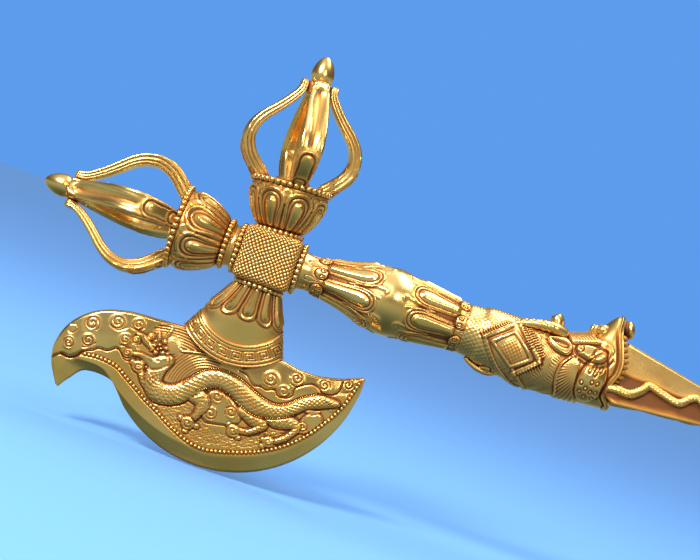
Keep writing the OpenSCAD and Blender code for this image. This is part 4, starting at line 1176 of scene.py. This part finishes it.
@dataclass
class PetalledGrip:
    """The grip: a waist, a plain swell, and petals that point at it from both ends."""

    start: float = 17.4
    long: float = 86.0
    radius: float = 17.3
    waist: float = 9.2
    petals: int = 7
    first: float = -15.0
    ref: float = 14.0
    rows: int = 300
    sides: int = 250

    def wall(self) -> np.ndarray:
        """Gives the profile as radius and distance along the grip."""
        r, w, n = self.radius, self.waist, self.long
        swell = ((0.64, 0.25), (0.86, 0.4), (0.975, 0.5), (1, 0.57), (0.91, 0.66), (0.82, 0.78),
                 (0.71, 0.94), (0.7, 1))
        foot = [(w + 0.6, 0), (w - 0.2, 0.055 * n), (w + 0.3, 0.13 * n)]
        return curve(foot + [(r * out, along * n) for out, along in swell], 20)

    def drawing(self) -> Chasing:
        """Chases both rows of petals, with scrolls at their roots."""
        sheet = Chasing(0, 0, TURN * self.ref, self.long, wraps=True)
        pitch = TURN * self.ref / self.petals
        for k in range(self.petals):
            mid = math.radians(self.first) * self.ref + k * pitch
            gap = mid + pitch / 2
            for low, way, high in ((12.5, 1, 28.5), (81.5, -1, 26.0)):

                def toward(points: Path) -> list[tuple[float, float]]:
                    """Turns places from the gap and the petal's foot toward the swell."""
                    return [(gap + x, low + way * y) for x, y in points]

                def leaf(wide: float, tall: float) -> np.ndarray:
                    """Draws a petal that grows toward the swell."""
                    ring = petal(mid, 0, pitch * wide, tall, 0.36)
                    return np.stack([ring[:, 0], low + way * ring[:, 1]], axis=1)

                sheet.plate(leaf(0.92, high), 0.6, 0.5)
                for wide, short, line, rise in (
                    (0.77, 1.6, 0.7, -0.6), (0.68, 2.5, 0.9, 0.2), (0.58, 3.5, 0.7, -0.6),
                ):
                    sheet.ridge(leaf(wide, high - short), line, rise)
                sheet.plate(leaf(0.53, high - 4.0), 0.95, 1.9)
                wedge = [(2.0, 0.5), (1.7, 8), (1.0, 15), (0.4, 21), (-0.4, 21), (-1.0, 15), (-1.7, 8),
                         (-2.0, 0.5)]
                hatched = sheet.plate(toward(wedge), -0.45, 0.4)
                sheet.hatch(hatched, 0.22, 0.8, 0.6)
                # The sunk, hatched wedge takes grime and painted shade.
                sheet.grime_and_shade = np.maximum(sheet.grime_and_shade, hatched * 0.85)
                for tip, wide, rise in (
                    ([(0, 12), (1.0, 20), (2.0, 27), (1.4, high + 3.2), (0.4, high + 2.4)],
                     (0.8, 1.6, 2.2, 1.4), 0.6),
                    ([(0, 12), (-1.0, 20), (-2.0, 26), (-2.6, high + 0.5)], (0.8, 1.4, 0.9), 0.5),
                ):
                    sheet.ridge(curve(toward(tip), 8), [w for w in wide for _ in range(8)] + [wide[-1]], rise)
                bud = petal(mid, 0, 4.2, 7.5, 0.1)
                bud[:, 1] = low - way * (2.5 + bud[:, 1])
                sheet.ridge(bud, 0.6, -0.45)
                cuff = oval((gap, low - way * 2.0), (4.5, way * 3.7), 33)
                sheet.plate(cuff, 0.95, 0.8)
                sheet.ridge(cuff, 0.8, -0.5)
                for side in (-1, 1):
                    curl = scroll((gap + side * 2.1, low - way * 1.3), 2.0, 90 * way, Side(-side * way), 1.5)
                    sheet.ridge(curl, 0.6, -0.75)
                    for off in (0.9, 1.8, 2.7):
                        sheet.ridge(toward([(side * off, 1.3), (side * off * 1.15, 3.8)]), 0.5, -0.45)
        return sheet.finish(1, 0.16)

    def build(self) -> None:
        """Builds the grip over its rod."""
        sheet, wall = self.drawing(), self.wall()
        v = np.linspace(0, self.long, self.rows)[:, None]
        a = np.linspace(0, TURN, self.sides, endpoint=False)[None, :]
        rise, grime_and_shade = sheet.at(a * self.ref, np.broadcast_to(v, (self.rows, self.sides)))
        r = np.interp(v, wall[:, 1], wall[:, 0]) + rise * np.minimum(1, np.minimum(v, self.long - v) / 0.8)
        rings = np.stack([np.broadcast_to(self.start + v, r.shape), -r * np.cos(a), r * np.sin(a)], axis=-1)
        keep(skin("petalled_grip", rings, grime_and_shade), Slot.GILT, "grip")


@dataclass
class BeastHead:
    """The scaled neck and the horned beast, whose open mouth holds the dagger."""

    start: float = 103.4
    long: float = 74.0
    ref: float = 15.0
    rows: int = 360
    sides: int = 256
    throat_z: float = 4.0
    tooth_r: tuple[float, ...] = (1.5, 1.55, 1.5, 1.45, 1.4, 1.3, 1.1, 0.8, 0.3)
    lips: Path = ((-15, 184.6), (-11.4, 184.4), (-10.6, 182), (-8, 180.1), (-5, 180), (-0.7, 181.2),
                  (3.4, 183), (6.5, 183.4), (10, 183.3), (14.4, 182), (19, 180.3), (23, 179.1), (27, 178.7),
                  (32, 179.2))

    def lip_x(self, z: np.ndarray) -> np.ndarray:
        """Tells how far forward the lip's edge reaches at a height."""
        high, far = np.transpose(self.lips)
        return sum(np.interp(z + shift, high, far) for shift in (-1, -0.4, 0.4, 1)) / 4

    def profile(self, x: np.ndarray) -> np.ndarray:
        """Gives the reach up, the reach down and the half width at places along the head."""
        steps = curve([(0, 12.1, 12.1, 12.1), (0.09, 12.6, 12.8, 12.4), (0.15, 14, 14.4, 14),
                       (0.3, 14.2, 16.2, 15.4), (0.5, 13.8, 17.8, 16), (0.62, 13.6, 17.6, 16),
                       (0.7, 14.8, 17.2, 16), (0.78, 17.0, 16.6, 15.6), (0.84, 19.8, 16.2, 15.2),
                       (0.88, 24.4, 15.8, 14.8), (0.91, 28.2, 15.5, 14.5), (0.94, 31.0, 15.2, 14.2),
                       (0.97, 32.4, 14.9, 13.9), (1, 32.8, 14.6, 13.6)], 12)
        s = (np.asarray(x) - self.start) / self.long
        return np.stack([np.interp(s, steps[:, 0], steps[:, k]) for k in (1, 2, 3)], axis=-1)

    def mm(self, points: Path) -> np.ndarray:
        """Takes a drawing seen from the front to the way along and round the head."""
        p = Sketch(93.6, 14.1, 0.0828).mm(points)
        reach = self.profile(np.minimum(p[:, 0], self.start + self.long))
        high = np.where(p[:, 1] > 0, reach[:, 0], reach[:, 1])
        return np.stack([p[:, 0], self.ref * np.arcsin(np.clip(p[:, 1] / high, -1, 1))], axis=1)

    def comb(self, sheet: Chasing, path: Path, pitch: float, long: float, rise: float = 0.45) -> None:
        """Sets short bars side by side across a line."""
        sheet.ridge(path, long, -0.35, 0.5)
        p = np.asarray(path, float)
        way = way_along(p)
        for s in np.arange(pitch / 2, way[-1], pitch):
            back, on = (np.array([np.interp(s + o, way, p[:, k]) for k in (0, 1)]) for o in (-0.2, 0.2))
            d = on - back
            n = np.array((-d[1], d[0])) / max(np.hypot(*d), 1e-6) * long / 2
            mid = (back + on) / 2
            sheet.ridge([mid - n, mid + n], pitch * 0.65, rise * 1.5)

    def drawing(self) -> Chasing:
        """Chases one side of the head, from the breast up to the crown."""
        half = self.ref * math.pi / 2
        sheet = Chasing(self.start, -half, 187, half)
        at = self.mm
        x, v = sheet.us[:, None], sheet.vs[None, :]
        neck = ease((146 - x) / 3) * np.ones_like(v)
        sheet.height += neck * 0.6 * shingles(-x, v, 3.0)
        fur = at([(500, 236), (560, 262), (600, 352), (700, 362), (760, 372), (706, 470), (700, 560),
                  (724, 660), (560, 620), (300, 560), (352, 470), (498, 402)])
        combed = sheet.clear(fur, 0.5)

        def hair(u: np.ndarray, w: np.ndarray) -> np.ndarray:
            """Draws wavy hair that runs down and back."""
            strands = 0.3 * np.sin(TURN * (0.62 * u + 0.78 * w + 0.5 * np.sin(u * 0.9)) / 1.15)
            return strands * (0.65 + 0.35 * np.sin((0.78 * u - 0.62 * w) * 1.3))

        sheet.carve(combed, hair)
        fan = [(700, 362), (740, 390), (716, 470), (704, 560), (730, 650), (592, 610), (592, 500), (612, 430)]
        cheek_fur = sheet.clear(at(fan), 0.5, 1.0, 0.7)
        root = at([(760, 430)])[0]
        sheet.carve(cheek_fur, lambda u, w: 0.28 * np.sin(54 * np.arctan2(w - root[1], root[0] - u)))
        sheet.ridge(at(curve([(706, 356), (640, 392), (606, 440), (590, 510), (594, 580)], 6)), 1.3, 1.2)
        field = [(176, 246), (330, 190), (390, 196), (486, 392), (336, 456), (240, 400)]
        sheet.clear(at(field), 0.5, 1.0, 0.35)
        for line, wide in (
            ([(168, 243), (258, 212), (330, 186)], 2.3),
            ([(388, 186), (440, 290), (494, 392)], 2.3),
            ([(494, 396), (420, 432), (340, 462)], 2.3),
            ([(168, 246), (228, 400), (300, 490), (376, 556)], 2.3),
            ([(338, 440), (372, 500), (420, 560)], 1.8),
        ):
            sheet.ridge(at(curve(line, 6)), wide + 0.9, -0.35)
            sheet.ridge(at(curve(line, 6)), wide, 1.25, 0.22)
        ring = at([(216, 272), (352, 220), (446, 380), (322, 424), (216, 272)])
        sheet.ridge(ring, 2.4, -0.3)
        sheet.ridge(ring, 1.7, 1.1, 0.22)
        panel = sheet.plate(at([(262, 292), (348, 246), (402, 372), (312, 400)]), -0.5, 0.5)
        sheet.carve(panel, lambda u, w: 0.9 * shingles(-u, w, 2.1))
        # The sunk scaled panel takes grime and painted shade.
        sheet.grime_and_shade = np.maximum(sheet.grime_and_shade, 0.45 * panel)
        for line in ([(150, 232), (240, 196), (330, 164)], [(438, 200), (482, 290), (512, 384)],
                     [(506, 412), (420, 452), (350, 484)], [(404, 196), (424, 250), (452, 318)]):
            self.comb(sheet, at(curve(line, 6)), 1.35, 2.4, 0.6)
        leaf = at(curve([(52, 388), (100, 406), (206, 430), (196, 462), (108, 446), (60, 412), (52, 388)], 4))
        sheet.plate(leaf, 1.1, 0.8)
        sheet.ridge(leaf, 0.6, -0.3)
        ear = curve([(532, 250), (600, 256), (668, 272), (696, 312), (682, 352), (640, 362), (590, 336),
                     (556, 300), (532, 250)], 5)
        sheet.clear(at(ear), 0.6, 0.8)
        sheet.plate(at(ear), 2.0, 1.2)
        shell = [(552, 262), (610, 270), (662, 288), (676, 314), (650, 330), (606, 312), (552, 262)]
        sheet.plate(at(curve(shell, 5)), -1.6, 1.1)
        sheet.ridge(at(curve([(590, 284), (630, 300), (660, 306)], 5)), 0.8, 0.6)
        sheet.clear(at([(660, 210), (800, 190), (900, 190), (1000, 120), (1060, 150), (1000, 400), (905, 600),
                        (740, 640), (720, 470), (760, 380), (690, 340)]), 0.5, 0.9)
        brow = curve([(668, 244), (745, 226), (802, 228), (844, 240), (879, 264), (860, 284), (814, 293),
                      (756, 294), (706, 288), (672, 260), (668, 244)], 4)
        sheet.hatch(sheet.plate(at(brow), 1.5, 1.2), 0.3, 1, 0.6, 1.3)
        sheet.ridge(at(curve([(668, 262), (706, 293), (756, 299), (814, 298), (866, 286)], 6)), 0.9, -1.0)
        lid = curve([(710, 321), (722, 300), (756, 296), (802, 299), (844, 296), (879, 299), (910, 322),
                     (905, 367), (875, 393), (821, 401), (775, 386), (737, 363), (714, 340), (710, 321)], 4)
        sheet.plate(at(lid), 2.0, 1.4)
        sheet.ridge(at(lid), 0.8, -0.5)
        sheet.ridge(at(scroll((741, 321), 23, 150, Side.RIGHT, 1.3)), 0.9, -0.8)
        ball = curve([(814, 350), (829, 326), (860, 309), (894, 313), (913, 332), (898, 363), (867, 376),
                      (837, 370), (814, 350)], 5)
        sheet.dome(at([(864, 346)])[0], (3.8, 2.8), 0.9)
        sheet.ridge(at(ball[:21]), 0.8, -0.9)
        sheet.ridge(at(ball[20:]), 0.6, -0.25)
        sheet.ridge(at(curve([(786, 372), (812, 352)], 3)), 0.5, -0.5)
        for line, wide, rise in (
            ([(905, 285), (925, 300), (930, 330), (921, 366), (900, 396)], 0.9, -0.4),
            ([(884, 262), (910, 274), (930, 300), (938, 330)], 1.6, 0.4),
            ([(730, 382), (780, 412), (850, 425), (905, 413), (935, 388)], 1.2, -0.8),
        ):
            sheet.ridge(at(curve(line, 6)), wide, rise)
        cheek = at([(798, 524)])[0]
        sheet.dome(cheek, (11.0, 7.2), 3.8, turn=86)
        sheet.ridge(oval(cheek, (7.3, 11.2), 41), 0.9, -0.6)
        for spot in ((821, 428), (861, 439), (789, 447), (821, 468), (741, 508), (804, 510), (837, 520),
                     (768, 539), (735, 554), (798, 558), (764, 581), (829, 566), (810, 596)):
            wart = at([spot])[0]
            sheet.dome(wart, 0.75, 0.35)
            sheet.ridge(oval(wart, 0.95, 13), 0.6, -0.7)
        sheet.ridge(at(curve([(880, 560), (866, 600), (890, 646), (934, 662)], 6)), 4.2, 1.1)
        return sheet.finish(1, 0.17)

    def build(self) -> None:
        """Builds the head, then its horns, nose and teeth."""
        sheet = self.drawing()
        s = np.linspace(0, 1, self.rows)[:, None]
        a = np.linspace(0, TURN, self.sides, endpoint=False)[None, :]
        x = self.start + self.long * s + 0 * a
        reach = self.profile(x)
        up = np.where(np.sin(a) > 0, reach[..., 0], reach[..., 1])
        z = up * np.sin(a)
        lip = self.lip_x(z[-1])
        x = x + (lip - x[-1]) * ease((x - 158) / (177.4 - 158))
        round_head = np.abs((a + math.pi) % TURN - math.pi)
        folded = np.where(round_head < math.pi / 2, round_head, math.pi - round_head)
        v = folded * np.sign(np.sin(a)) * self.ref
        rise, grime_and_shade = sheet.at(x, v)
        gone = lip - x
        top = ease((z - 19) / 9)
        rise = rise * ease((gone - 2.8) / 1.6)

        def rim(at: float, wide: float) -> np.ndarray:
            """Gives a soft line that runs at a distance behind the lip."""
            return np.exp(-((gone - at) / wide) ** 2)

        rise = rise + 0.55 * ease((3.0 - gone) / 0.5) + 0.35 * rim(0.55, 0.35) + 0.4 * rim(2.5, 0.35)
        rise = rise - 0.75 * rim(3.5, 0.5) * (1 - 0.85 * top)
        fall = 1 - np.sqrt(1 - np.clip(1 - gone / (3.6 + 1.6 * top), 0, 1) ** 2)
        rise = rise - fall * (0.7 + 2.6 * top)
        # Inside the lip the mouth is darkened with painted shade, less towards the top.
        grime_and_shade = np.maximum(grime_and_shade, 0.55 * rim(1.5, 0.5) * (1 - top) + 0.95 * rim(3.5, 0.6) * (1 - 0.5 * top))
        rise = rise * np.minimum(1, (x - self.start) / 0.8 + 0.05)
        norm = np.stack([np.cos(a) / reach[..., 2], np.sin(a) / up], axis=-1)
        norm /= np.linalg.norm(norm, axis=-1, keepdims=True)
        rings = np.stack([x, -(reach[..., 2] * np.cos(a) + rise * norm[..., 0]), z + rise * norm[..., 1]],
                         axis=-1)
        # The rings that turn into the mouth darken with depth: painted shade.
        tail, dark = [], []
        for inset, back in ((0.9, -0.35), (1.7, 0.1), (2.2, 0.9), (2.6, 2.2), (3.2, 4.0), (4.2, 6.0)):
            ring = rings[-1].copy()
            arm = ring[:, 1:] - (0, self.throat_z)
            ring[:, 1:] -= arm / np.linalg.norm(arm, axis=1, keepdims=True) * inset
            ring[:, 0] -= back
            tail.append(ring)
            dark.append(np.full(self.sides, min(1.0, inset / 3.0)))
        rings = np.concatenate([rings, np.array(tail)])
        grime_and_shade = np.concatenate([grime_and_shade, np.array(dark)])
        keep(skin("beast_head_and_neck", rings, grime_and_shade), Slot.GILT, "beast_head")
        self.trim()

    def lump(self, bm: bmesh.types.BMesh, at: Sequence[float], size: Sequence[float], lean: float,
             cuts: tuple[int, int], dark: float = 0.0) -> None:
        """Adds an oval lump, leant back by some degrees, to a bmesh."""
        place = Matrix.Translation(Vector(at) * MM) @ Matrix.Rotation(math.radians(lean), 4, "Y")
        place = place @ Matrix.Diagonal((*size, 1))
        made = bmesh.ops.create_uvsphere(bm, u_segments=cuts[0], v_segments=cuts[1], radius=MM, matrix=place)
        layer = bm.verts.layers.float["grime_and_shade"]
        for v in made["verts"]:
            v[layer] = dark

    def trim(self) -> None:
        """Builds the solid features that stand off the head."""
        bm = bmesh.new()
        for hand in (-1, 1):
            horn = curve([(152.5, 7.0, 13.6), (148, 8.2, 14.8), (142.4, 9.2, 15.0), (135.8, 9.6, 14.0),
                          (129.5, 9.2, 12.2), (125.5, 8.8, 10.8)], 10) * (1, hand, 1)
            t = np.linspace(0, 1, len(horn))
            size = np.interp(t, (0, 0.03, 0.09, 0.25, 0.6, 0.94, 1), (0.6, 2.2, 3.0, 3.1, 2.3, 1.5, 0.5))
            size = size + 0.16 * np.sin(TURN * t * 9) * (t > 0.3) * (t < 0.9)
            add_skin(bm, bar_rings(horn, size, 28), 0.05)
            add_bar(bm, [(166.6, 3.6, 16.0), (165.7, 3.9, 19.0), (165.3, 4.2, 21.6), (165.9, 4.4, 23.8)], 8,
                    ((0, 0.1, 0.5, 0.8, 0.95, 1), (0.8, 2.0, 1.8, 1.5, 0.9, 0.2)), 22, 0.1, hand)
            self.lump(bm, (169.0, 4.2 * hand, 22.4), (3.4, 2.6, 2.6), -38, (24, 14))
            for z in np.linspace(-7.5, 22, 12):
                wide = 11.4 - 0.012 * (z - 4) ** 2
                lip = float(self.lip_x(z))
                tooth = [(lip - 2.6, wide, z), (lip + 0.4, wide - 0.1, z - 0.1),
                         (lip + 2.6, wide - 0.6, z - 0.2)]
                tooth = curve(np.array(tooth) * (1, hand, 1), 4)
                add_skin(bm, bar_rings(tooth, np.array(self.tooth_r), 12), 0.35)
            below = [(108.6, 1.6, -13.6), (113.0, 2.0, -15.6), (117.6, 2.4, -16.9), (122.2, 2.6, -17.0),
                     (127.0, 2.6, -15.6)]
            add_bar(bm, below, 8, ((0, 0.05, 0.4, 0.8, 1), (0.2, 0.9, 1.5, 1.4, 0.4)), 20, 0.05, hand)
        crest = [(147.4, 0, 12.0), (147.2, 0, 15.5), (146.6, 0, 19.0), (145.8, 0, 21.6), (145.4, 0, 22.4)]
        add_bar(bm, crest, 8, ((0, 0.3, 0.6, 0.85, 0.97, 1), (4.4, 4.0, 3.4, 2.3, 1.0, 0.3)), 28, 0.05)
        self.lump(bm, (182.2, 0, 26.8), (2.6, 5.0, 4.7), -18, (32, 18), 0.05)
        # The wider lump behind the nose is painted dark: painted shade under the nose.
        self.lump(bm, (180.0, 0, 26.8), (2.2, 6.0, 4.0), -18, (32, 18), 0.9)
        keep(new_object("beast_horns_nose_and_teeth", bm), Slot.GILT)


@dataclass
class SerpentDagger:
    """The three-edged blade, with a serpent down the middle of each hollow face."""

    mouth_x: float = 177.4
    long: float = 107.0
    reach: float = 22.8
    root: float = 0.6
    face_in: float = 0.38
    blunt: float = 0.965
    sides: int = 30

    def reach_at(self, x: np.ndarray) -> np.ndarray:
        """Gives how far the edges stand from the middle."""
        t = (x - self.mouth_x) / self.long
        swell = np.clip((x - self.mouth_x - 0.5) / 7.5, 0, 1)
        full = self.reach * (self.root + (1 - self.root) * np.sin(math.pi / 2 * swell))
        return full * np.maximum(0.02, (1 - t) * (1 + 0.04 * t))

    def share(self, off: np.ndarray) -> np.ndarray:
        """Gives the section's radius as a share of the reach, from 0 at an edge to 1 at mid face."""
        slope = np.tan(np.radians(60 * (1 - np.clip(off, 0, 1))))
        along = self.face_in * slope / (0.866 - (0.5 - self.face_in) * slope)
        return np.hypot(self.face_in + (0.5 - self.face_in) * along, 0.866 * along)

    def serpent(self, turn: float) -> tuple[np.ndarray, np.ndarray]:
        """Lays a scaled serpent along one hollow face."""
        way = curve([(-1.5, -8.6), (5.6, -9.4), (13.0, -9.4), (18.6, -4.6), (22.3, -0.2), (30.0, -1.8),
                     (38.4, -3.2), (43.6, 1.6), (48.0, 3.2), (54, -0.6), (60, -2.6), (66, 0.8), (72, 1.4),
                     (78, -0.8), (84, -0.6), (89, 0.3)], 34)
        t = np.linspace(0, 1, len(way))
        size = np.interp(t, (0, 0.05, 0.5, 0.9, 1), (2.2, 2.35, 1.9, 0.9, 0.25))
        phi = np.linspace(0, 60, 61)
        s, c = math.sin(math.radians(turn)), math.cos(math.radians(turn))
        line = []
        for x, side, r in zip(self.mouth_x + way[:, 0], way[:, 1], size):
            radius = float(self.reach_at(np.array(x))) * self.share(1 - phi / 60)
            across = radius * np.sin(np.radians(phi))
            depth = float(np.interp(abs(side), across, radius * np.cos(np.radians(phi)))) + r * 0.35
            line.append((x, s * depth + c * side, c * depth - s * side))
        line = np.array(line)
        rings = bar_rings(line, size, self.sides, 0.85, up=(0, s, c))
        gone = np.concatenate([[0], np.cumsum(np.linalg.norm(np.diff(line, axis=0), axis=1))])[:, None]
        a = np.linspace(0, TURN, self.sides, endpoint=False)[None, :]
        bump = shingles(gone, a * 2.2, 1.73)
        mid = line[:, None]
        rings = mid + (rings - mid) * (1 + 0.32 * (bump - 0.6))[..., None]
        # The gaps between scales take grime and painted shade.
        return rings, np.clip(0.95 - 1.3 * bump, 0, 1)

    def build(self) -> None:
        """Builds the blade and its serpents as one piece."""
        bm = bmesh.new()
        x = self.mouth_x + np.concatenate([np.linspace(-6.9, 0, 4), self.long * np.linspace(0.004, 1, 130)])
        a = np.linspace(0, 360, 132, endpoint=False)
        hollow = np.abs((a + 60) % 120 - 60) / 60
        share = np.minimum(self.share(hollow), self.blunt)
        reach = np.where(x < self.mouth_x, self.reach * self.root - 0.1, self.reach_at(x))
        r = reach[:, None] * share[None, :]
        turn = np.radians(a)
        rings = np.stack([np.broadcast_to(x[:, None], r.shape), r * np.sin(turn), r * np.cos(turn)], axis=-1)
        # Painted shade: darker where the blade leaves the mouth, and on one half of each hollow face.
        near_mouth = np.clip(1.15 - (x - self.mouth_x) / 9, 0, 1)[:, None]
        face_shade = np.interp(a % 120, (0, 4, 20, 54, 68, 84, 120), (0.1, 0.9, 1.5, 1.6, 0.9, 0.15, 0.0))
        add_skin(bm, rings, np.clip(near_mouth * (0.45 + 0.5 * hollow[None, :]) + face_shade[None, :], 0, 1.4))
        for turn in (60, 180, 300):
            add_skin(bm, *self.serpent(turn))
        blade = keep(new_object("serpent_dagger", bm), Slot.GILT, "dagger_blade")
        # The dagger's finish has a darker brown for its painted shade and grime.
        blade.data.materials[0] = Gilding("shade_darkened_gilt", brown=(0.115, 0.032, 0.001)).material()


@dataclass
class Studio:
    """A blue cloth for a floor, soft lights and the camera."""

    floor_z: float = -0.1105
    eye: tuple[float, float, float] = (0.04198, -0.85, 0.0036)
    roll: float = 19.64
    lens: float = 87.41
    cloth: tuple[float, float, float] = (0.115, 0.29, 0.6)
    sky: tuple[float, float, float] = (0.95, 1.15, 1.4)
    surround: Stops = (
        (0.0, (0.08, 0.12, 0.13)), (0.12, (0.15, 0.22, 0.22)), (0.25, (0.30, 0.39, 0.37)),
        (0.38, (0.43, 0.54, 0.49)), (0.47, (0.44, 0.48, 0.42)), (0.55, (0.19, 0.20, 0.18)),
        (0.63, (0.10, 0.10, 0.10)), (0.8, (0.2, 0.2, 0.19)), (1.0, (1.0, 0.96, 0.9)),
    )

    def light(self, name: str, at: Sequence[float], aim: Sequence[float], size: tuple[float, float],
              power: float, colour: Sequence[float] = (1, 1, 1)) -> None:
        """Adds a soft rectangular lamp that points at a spot."""
        lamp = bpy.data.lights.new(name, "AREA")
        lamp.shape = "RECTANGLE"
        lamp.size, lamp.size_y = size
        lamp.energy = power
        lamp.color = colour
        piece = bpy.data.objects.new(name, lamp)
        piece.location = at
        piece.rotation_mode = "QUATERNION"
        piece.rotation_quaternion = (Vector(aim) - Vector(at)).to_track_quat("-Z", "Y")
        piece.visible_camera = False
        bpy.context.scene.collection.objects.link(piece)

    def build(self) -> None:
        """Sets the floor, the lights, the surroundings and the camera."""
        self.floor()
        self.light("key_softbox", (-0.85, -1.35, 1.17), (0.05, 0, 0), (0.58, 0.47), 55.0, (1, 0.98, 0.94))
        self.light("top_softbox", (0.25, 0.1, 0.8), (0.05, 0, 0), (0.8, 0.3), 4.5, (1, 0.98, 0.95))
        self.light("side_strip", (0.32, -0.85, 0.42), (0.16, 0, 0), (0.2, 0.2), 2.4, (1, 0.97, 0.92))
        self.surroundings()
        bpy.context.scene.view_settings.view_transform = "Standard"
        self.camera()

    def floor(self) -> None:
        """Lays the cloth."""
        bm = bmesh.new()
        level = Matrix.Translation((0, 0, self.floor_z))
        bmesh.ops.create_grid(bm, x_segments=1, y_segments=1, size=30, matrix=level)
        floor = new_object("studio_floor", bm)
        fabric = bpy.data.materials.new("blue_cloth")
        fabric.use_nodes = True
        shader = fabric.node_tree.nodes["Principled BSDF"]
        shader.inputs["Base Color"].default_value = (*self.cloth, 1)
        shader.inputs["Roughness"].default_value = 0.9
        floor.data.materials.append(fabric)
        floor.visible_glossy = False

    def surroundings(self) -> None:
        """Lights the far field: even for cloth and camera, banded where metal mirrors it."""
        world = bpy.data.worlds.new("surround")
        bpy.context.scene.world = world
        world.use_nodes = True
        nodes, link = world.node_tree.nodes, world.node_tree.links
        back = nodes["Background"]
        seen = nodes.new("ShaderNodeLightPath")
        shown = nodes.new("ShaderNodeMix")
        shown.data_type = "RGBA"
        shown.inputs[6].default_value = (*self.sky, 1)
        shown.inputs[7].default_value = (*(a * b for a, b in zip(self.sky, self.cloth)), 1)
        link.new(seen.outputs["Is Camera Ray"], shown.inputs["Factor"])
        link.new(shown.outputs[2], back.inputs["Color"])
        dim = nodes.new("ShaderNodeBackground")
        where = nodes.new("ShaderNodeTexCoord")
        split = nodes.new("ShaderNodeSeparateXYZ")
        link.new(where.outputs["Generated"], split.inputs[0])
        ramp = colour_ramp(nodes, self.surround)
        remap = nodes.new("ShaderNodeMapRange")
        remap.inputs["From Min"].default_value = -1
        link.new(split.outputs["Z"], remap.inputs["Value"])
        link.new(remap.outputs[0], ramp.inputs["Fac"])
        link.new(ramp.outputs["Color"], dim.inputs["Color"])
        flat = nodes.new("ShaderNodeMath")
        flat.operation = "MAXIMUM"
        link.new(seen.outputs["Is Camera Ray"], flat.inputs[0])
        link.new(seen.outputs["Is Diffuse Ray"], flat.inputs[1])
        both = nodes.new("ShaderNodeMixShader")
        link.new(flat.outputs[0], both.inputs[0])
        link.new(dim.outputs[0], both.inputs[1])
        link.new(back.outputs[0], both.inputs[2])
        link.new(both.outputs[0], nodes["World Output"].inputs["Surface"])

    def camera(self) -> None:
        """Sets the camera at the photo's viewing angle, rolled as the photo was."""
        camera = bpy.data.cameras.new("photo_camera")
        camera.sensor_width = 36
        camera.lens = self.lens
        camera.clip_start = 0.05
        camera.clip_end = 100
        piece = bpy.data.objects.new("photo_camera", camera)
        c, s = math.cos(math.radians(self.roll)), math.sin(math.radians(self.roll))
        x, y, z = self.eye
        piece.matrix_world = Matrix(((c, -s, 0, x), (0, 0, -1, y), (s, c, 0, z), (0, 0, 0, 1)))
        bpy.context.scene.collection.objects.link(piece)
        bpy.context.scene.camera = piece


def main() -> None:
    """Builds every piece in order, then the studio."""
    logging.basicConfig(level=logging.INFO, format="%(message)s")
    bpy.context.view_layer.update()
    FINISH[Slot.GILT] = Gilding("gilt_metal").material()
    FINISH[Slot.COPPER] = Gilding("worn_copper_gilt", gold=(0.74, 0.43, 0.12), pale=(0.88, 0.58, 0.21),
                                  brown=(0.08, 0.026, 0.003), wear=0.2, gloss=0.3).material()
    FINISH[Slot.STEEL] = Gilding("rod_metal", gold=(0.5, 0.5, 0.52), pale=(0.6, 0.6, 0.62)).material()
    Studio().build()
    to_left = Matrix(((0, 0, -1, 0), (0, 1, 0, 0), (1, 0, 0, 0), (0, 0, 0, 1)))
    to_right = Matrix(((0, 0, 1, 0), (0, 1, 0, 0), (-1, 0, 0, 0), (0, 0, 0, 1)))
    lean = Matrix.Translation((1.4, 0, 0)) @ Matrix.Rotation(math.radians(-TOP_LEAN), 4, "Y")
    for node, place, hole in (
        ("side_inner_beads", Matrix.Translation((-HUB_HALF[0] - RING_W / 2, 0, 0)) @ to_left, 5.0),
        ("side_outer_beads", Matrix.Translation((-SIDE_FOOT + RING_W / 2, 0, 0)) @ to_left, 5.0),
        ("top_beads", lean @ Matrix.Translation((0, 0, TOP_SEAT + RING_W / 2)), 5.0),
        ("axe_beads", Matrix.Translation((0, 0, -HUB_HALF[2] - RING_W / 2)), 5.0),
        ("grip_beads", Matrix.Translation((HUB_HALF[0] + RING_W / 2, 0, 0)) @ to_right, 4.0),
    ):
        BeadRing(node, place, 11.8, 1.35, 26, RING_W, hole).build()
    side_place = Matrix.Translation((-SIDE_FOOT, 0, 0)) @ to_left
    top_place = lean @ Matrix.Translation((0, 0, TOP_SEAT + RING_W))
    heads = (VajraHead("side", side_place, 23.8, 57.6, 8, ("upper", "rear", "lower", "front")),
             VajraHead("top", top_place, 22.4, 53.8, 11, ("right", "rear", "left", "front")))
    for head in heads:
        head.rim().build()
    for head in heads:
        head.build()
    WovenHub().build()
    CrescentAxe().build()
    PetalledGrip().build()
    BeastHead().build()
    SerpentDagger().build()
    for row in frame["record"]["subparts"]:
        piece = frame["nodes"][row["node"]]
        piece.data.materials.clear()
        piece.data.materials.append(FINISH[Slot(row["material_slot"])])


if __name__ == "__main__":
    main()
